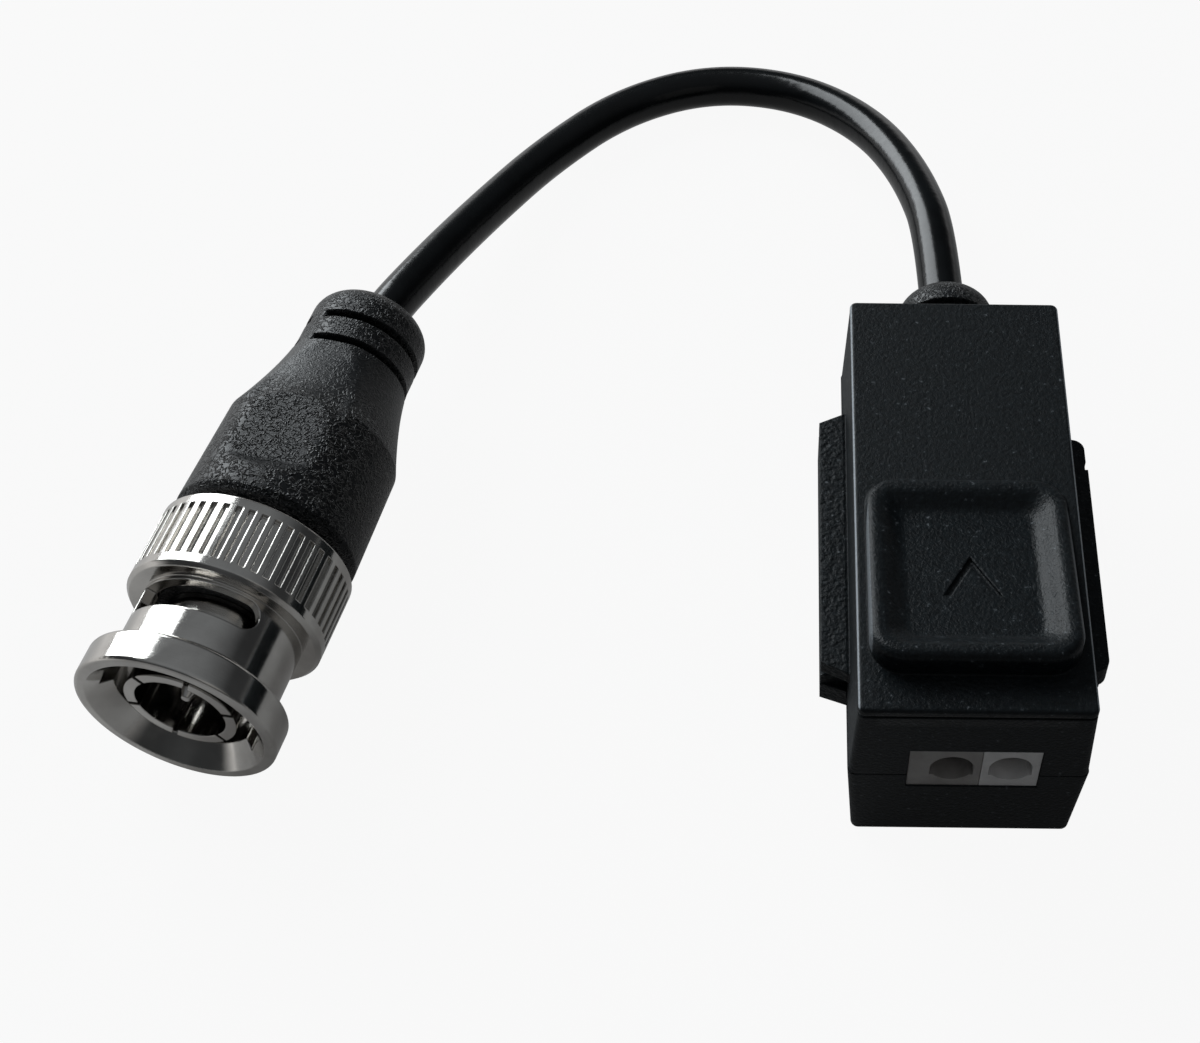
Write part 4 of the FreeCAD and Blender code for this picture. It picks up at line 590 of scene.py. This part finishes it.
# %% The boot's leather grain
BARREL_FADE, TAIL_RISE = (0.0236, 0.0272), (0.0305, 0.0325)
boot_skin = new_finish("boot_plastic", Specular_IOR_Level=0.24)
where = place_of(boot_skin)
ridges = wrinkles(boot_skin, where, 2300, 0.08)
along_boot = in_plug_frame(boot_skin, where).outputs["Y"]
on_barrel = remap(boot_skin, along_boot, *BARREL_FADE, 1.0, 0.12)
on_tail = remap(boot_skin, along_boot, *TAIL_RISE, 0.0, 0.35)
strength = add_node(boot_skin, "ShaderNodeMath", operation="ADD")
link(boot_skin, on_barrel, strength.inputs[0])
link(boot_skin, on_tail, strength.inputs[1])
shine = multiply(boot_skin, ridges, strength.outputs["Value"])
grain = relief(boot_skin, shine, 0.00015)
relief(boot_skin, noise(boot_skin, where, 9000, 2), 0.00002, grain)
tint(boot_skin, noise(boot_skin, where, 500, 3), (0.0018, 0.0026, 0.0032), (0.0036, 0.0048, 0.0058))
set_gloss(boot_skin, shine, 0.0, 1.0, 0.40, 0.20)
print("boot finish nodes:", len(boot_skin.node_tree.nodes))

# %% [markdown]
# ### Metals
# The plug is turned brass with bright nickel over it. Turning leaves rings, which depend only on
# the place along the axis and the distance from it, so one dimension of noise draws them.


# %% A plated metal
def metal(name, dark, light, gloss_low, gloss_high):
    """A metal with a faint mottle and an uneven gloss, and the place that its patterns read."""
    material = new_finish(name, Metallic=1.0)
    where = place_of(material)
    tint(material, noise(material, where, 350, 4), dark, light)
    set_gloss(material, noise(material, where, 800, 3), 0.3, 0.7, gloss_low, gloss_high)
    print(name, "nodes:", len(material.node_tree.nodes))
    return material, where


# %% Nickel with turning rings
nickel, where = metal("nickel_plate", (0.42, 0.405, 0.385), (0.52, 0.505, 0.48), 0.08, 0.16)
parts = in_plug_frame(nickel, where)
flat = add_node(nickel, "ShaderNodeCombineXYZ")
link(nickel, parts.outputs["X"], flat.inputs["X"])
link(nickel, parts.outputs["Z"], flat.inputs["Z"])
away = add_node(nickel, "ShaderNodeVectorMath", operation="LENGTH")
link(nickel, flat.outputs["Vector"], away.inputs[0])
rings = add_node(nickel, "ShaderNodeMath", operation="ADD")
link(nickel, away.outputs["Value"], rings.inputs[0])
link(nickel, parts.outputs["Y"], rings.inputs[1])
turning = add_node(nickel, "ShaderNodeTexNoise", noise_dimensions="1D", Scale=9000.0, Detail=3.0)
link(nickel, rings.outputs["Value"], turning.inputs["W"])
relief(nickel, turning.outputs["Fac"], 0.000003, soft_edge(nickel, 0.00016))

# %% The metals inside
spring_steel, where = metal("spring_steel", (0.42, 0.41, 0.40), (0.50, 0.49, 0.48), 0.25, 0.36)
relief(spring_steel, noise(spring_steel, where, 6000), 0.000004)
tin, where = metal("tinned_copper", (0.62, 0.61, 0.58), (0.72, 0.71, 0.68), 0.28, 0.42)
relief(tin, noise(tin, where, 5000), 0.000006)
copper, where = metal("winding_copper", (0.62, 0.24, 0.11), (0.74, 0.32, 0.16), 0.22, 0.34)
relief(copper, noise(copper, where, 4000), 0.000004)

# %% [markdown]
# ### Dressing the pieces
# Each CAD node keeps its mesh and says which material slot it has. The new pieces take the finish
# of the solid that they stand for.

# %% Each piece gets its finish
BY_SLOT = {
    "housing": abs_black, "terminal": terminal_grey, "terminal_light": terminal_pale, "tinned": tin,
    "spring_steel": spring_steel, "board": laminate, "ferrite": ferrite, "copper": copper,
    "chip_black": chip_black, "chip_tan": chip_tan, "rubber": rubber, "cable_jacket": jacket,
    "nickel": nickel, "insulator": insulator, "boot": boot_skin,
}
for part in frame["record"]["subparts"]:
    for material_slot in frame["nodes"][part["node"]].material_slots:
        material_slot.material = BY_SLOT[part["material_slot"]]
for piece, finish in ((lead, jacket), (collar, rubber), (boot, boot_skin)):
    piece.data.materials.append(finish)
print("finished nodes:", len(frame["nodes"]))

# %% [markdown]
# ## The studio
# A pale table, a pale background and one large window-like lamp behind and to the left, as in the
# photograph, with a weak fill in front. The table and the world show white to the camera and to
# glossy and see-through surfaces, most of all on the window's side. The table keeps part of its real
# shading, so the shadow stays.


# %% What camera rays and mirrored rays see
def direct_view(tree, to_camera, to_gloss):
    """The share of plain white that a camera ray meets, and that mirrored and bent rays meet."""
    path = tree.nodes.new("ShaderNodeLightPath")
    both = tree.nodes.new("ShaderNodeMath")
    both.operation = "MAXIMUM"
    tree.links.new(path.outputs["Is Glossy Ray"], both.inputs[0])
    tree.links.new(path.outputs["Is Transmission Ray"], both.inputs[1])
    gloss = tree.nodes.new("ShaderNodeMath")
    gloss.operation = "MULTIPLY"
    tree.links.new(both.outputs["Value"], gloss.inputs[0])
    tree.links.new(to_gloss, gloss.inputs[1])
    total = tree.nodes.new("ShaderNodeMath")
    total.operation = "MULTIPLY_ADD"
    total.inputs[1].default_value = to_camera
    tree.links.new(path.outputs["Is Camera Ray"], total.inputs[0])
    tree.links.new(gloss.outputs["Value"], total.inputs[2])
    return total.outputs["Value"]


def towards_window(tree, place):
    """How far a place or direction goes towards the window: its dot product with that side."""
    node = tree.nodes.new("ShaderNodeVectorMath")
    node.operation = "DOT_PRODUCT"
    node.inputs[1].default_value = WINDOW_SIDE
    tree.links.new(place, node.inputs[0])
    return node.outputs["Value"]


# %% The table
WINDOW_SIDE = (-0.66, 0.75, 0.0)
TABLE_GREY = (0.26, 0.26, 0.26, 1)
TABLE_WHITE = 0.93
TABLE_HALF = 2.0
TABLE_DROP = -0.00002
table_data = bpy.data.meshes.new("table")
corners = [(-TABLE_HALF, -TABLE_HALF, TABLE_DROP), (TABLE_HALF, -TABLE_HALF, TABLE_DROP),
           (TABLE_HALF, TABLE_HALF, TABLE_DROP), (-TABLE_HALF, TABLE_HALF, TABLE_DROP)]
table_data.from_pydata(corners, [], [(0, 1, 2, 3)])
table = bpy.data.objects.new("table", table_data)
bpy.context.scene.collection.objects.link(table)
table_paint = new_finish("table_paint", Roughness=0.9, Specular_IOR_Level=0.1)
shader_of(table_paint).inputs["Base Color"].default_value = TABLE_GREY
tree = table_paint.node_tree
white = tree.nodes.new("ShaderNodeEmission")
mix = tree.nodes.new("ShaderNodeMixShader")
where = tree.nodes.new("ShaderNodeTexCoord")
# The table's white, as seen in reflections, grows towards the window: a painted pool of window light,
# with the table in front of the part left dimmer.
painted_window_pool = graded(tree, towards_window(tree, where.outputs["Object"]), 0.02, 0.10, 0.12, 0.9)
tree.links.new(direct_view(tree, TABLE_WHITE, painted_window_pool), mix.inputs["Fac"])
tree.links.new(shader_of(table_paint).outputs["BSDF"], mix.inputs[1])
tree.links.new(white.outputs["Emission"], mix.inputs[2])
tree.links.new(mix.outputs["Shader"], tree.nodes["Material Output"].inputs["Surface"])
table.data.materials.append(table_paint)
print("table, m:", 2 * TABLE_HALF)

# %% The world
OVERHEAD_TINT = (0.9, 0.95, 1.0, 1)
world = bpy.data.worlds.new("studio")
bpy.context.scene.world = world
world.use_nodes = True
tree = world.node_tree
background = tree.nodes["Background"]
background.inputs["Color"].default_value = OVERHEAD_TINT
backdrop = tree.nodes.new("ShaderNodeBackground")
backdrop.inputs["Color"].default_value = (1, 1, 1, 1)
mix = tree.nodes.new("ShaderNodeMixShader")
direction = tree.nodes.new("ShaderNodeTexCoord")
height = tree.nodes.new("ShaderNodeSeparateXYZ")
tree.links.new(direction.outputs["Generated"], height.inputs["Vector"])
seen_in_gloss = tree.nodes.new("ShaderNodeMath")
seen_in_gloss.operation = "MULTIPLY"
window_side = towards_window(tree, direction.outputs["Generated"])
tree.links.new(graded(tree, height.outputs["Z"], 0.0, 0.2, 1.0, 0.0), seen_in_gloss.inputs[0])
tree.links.new(graded(tree, window_side, -0.2, 0.5, 0.25, 1.0), seen_in_gloss.inputs[1])
overhead = graded(tree, height.outputs["Z"], 0.45, 0.95, 0.05, 0.30)
tree.links.new(overhead, background.inputs["Strength"])
tree.links.new(direct_view(tree, 1.0, seen_in_gloss.outputs["Value"]), mix.inputs["Fac"])
tree.links.new(background.outputs["Background"], mix.inputs[1])
tree.links.new(backdrop.outputs["Background"], mix.inputs[2])
tree.links.new(mix.outputs["Shader"], tree.nodes["World Output"].inputs["Surface"])
print("world nodes:", len(tree.nodes))


# %% The lamps
def soft_box(name, towards, away, width, height, watts, colour):
    """An area lamp this far from the housing, facing it."""
    lamp_data = bpy.data.lights.new(name, "AREA")
    lamp_data.shape = "RECTANGLE"
    lamp_data.size, lamp_data.size_y = width, height
    lamp_data.energy = watts
    lamp_data.color = colour
    lamp = bpy.data.objects.new(name, lamp_data)
    direction = np.array(towards) / np.linalg.norm(towards)
    lamp.location = direction * away
    lamp.rotation_mode = "QUATERNION"
    lamp.rotation_quaternion = lamp.location.to_track_quat("Z", "Y")
    bpy.context.scene.collection.objects.link(lamp)
    print(name, "at", [round(float(x), 2) for x in lamp.location])


soft_box("window_lamp", (-0.58, 0.66, 0.46), 0.9, 0.6, 0.7, 12.0, (0.92, 0.97, 1.0))
soft_box("fill_lamp", (0.35, -0.7, 0.6), 1.1, 0.8, 0.6, 0.3, (1.0, 0.97, 0.93))

# %% [markdown]
# ## The picture's look
# The standard view shows colours as they are.

# %% The picture's look
bpy.context.scene.view_settings.view_transform = "Standard"
bpy.context.view_layer.update()
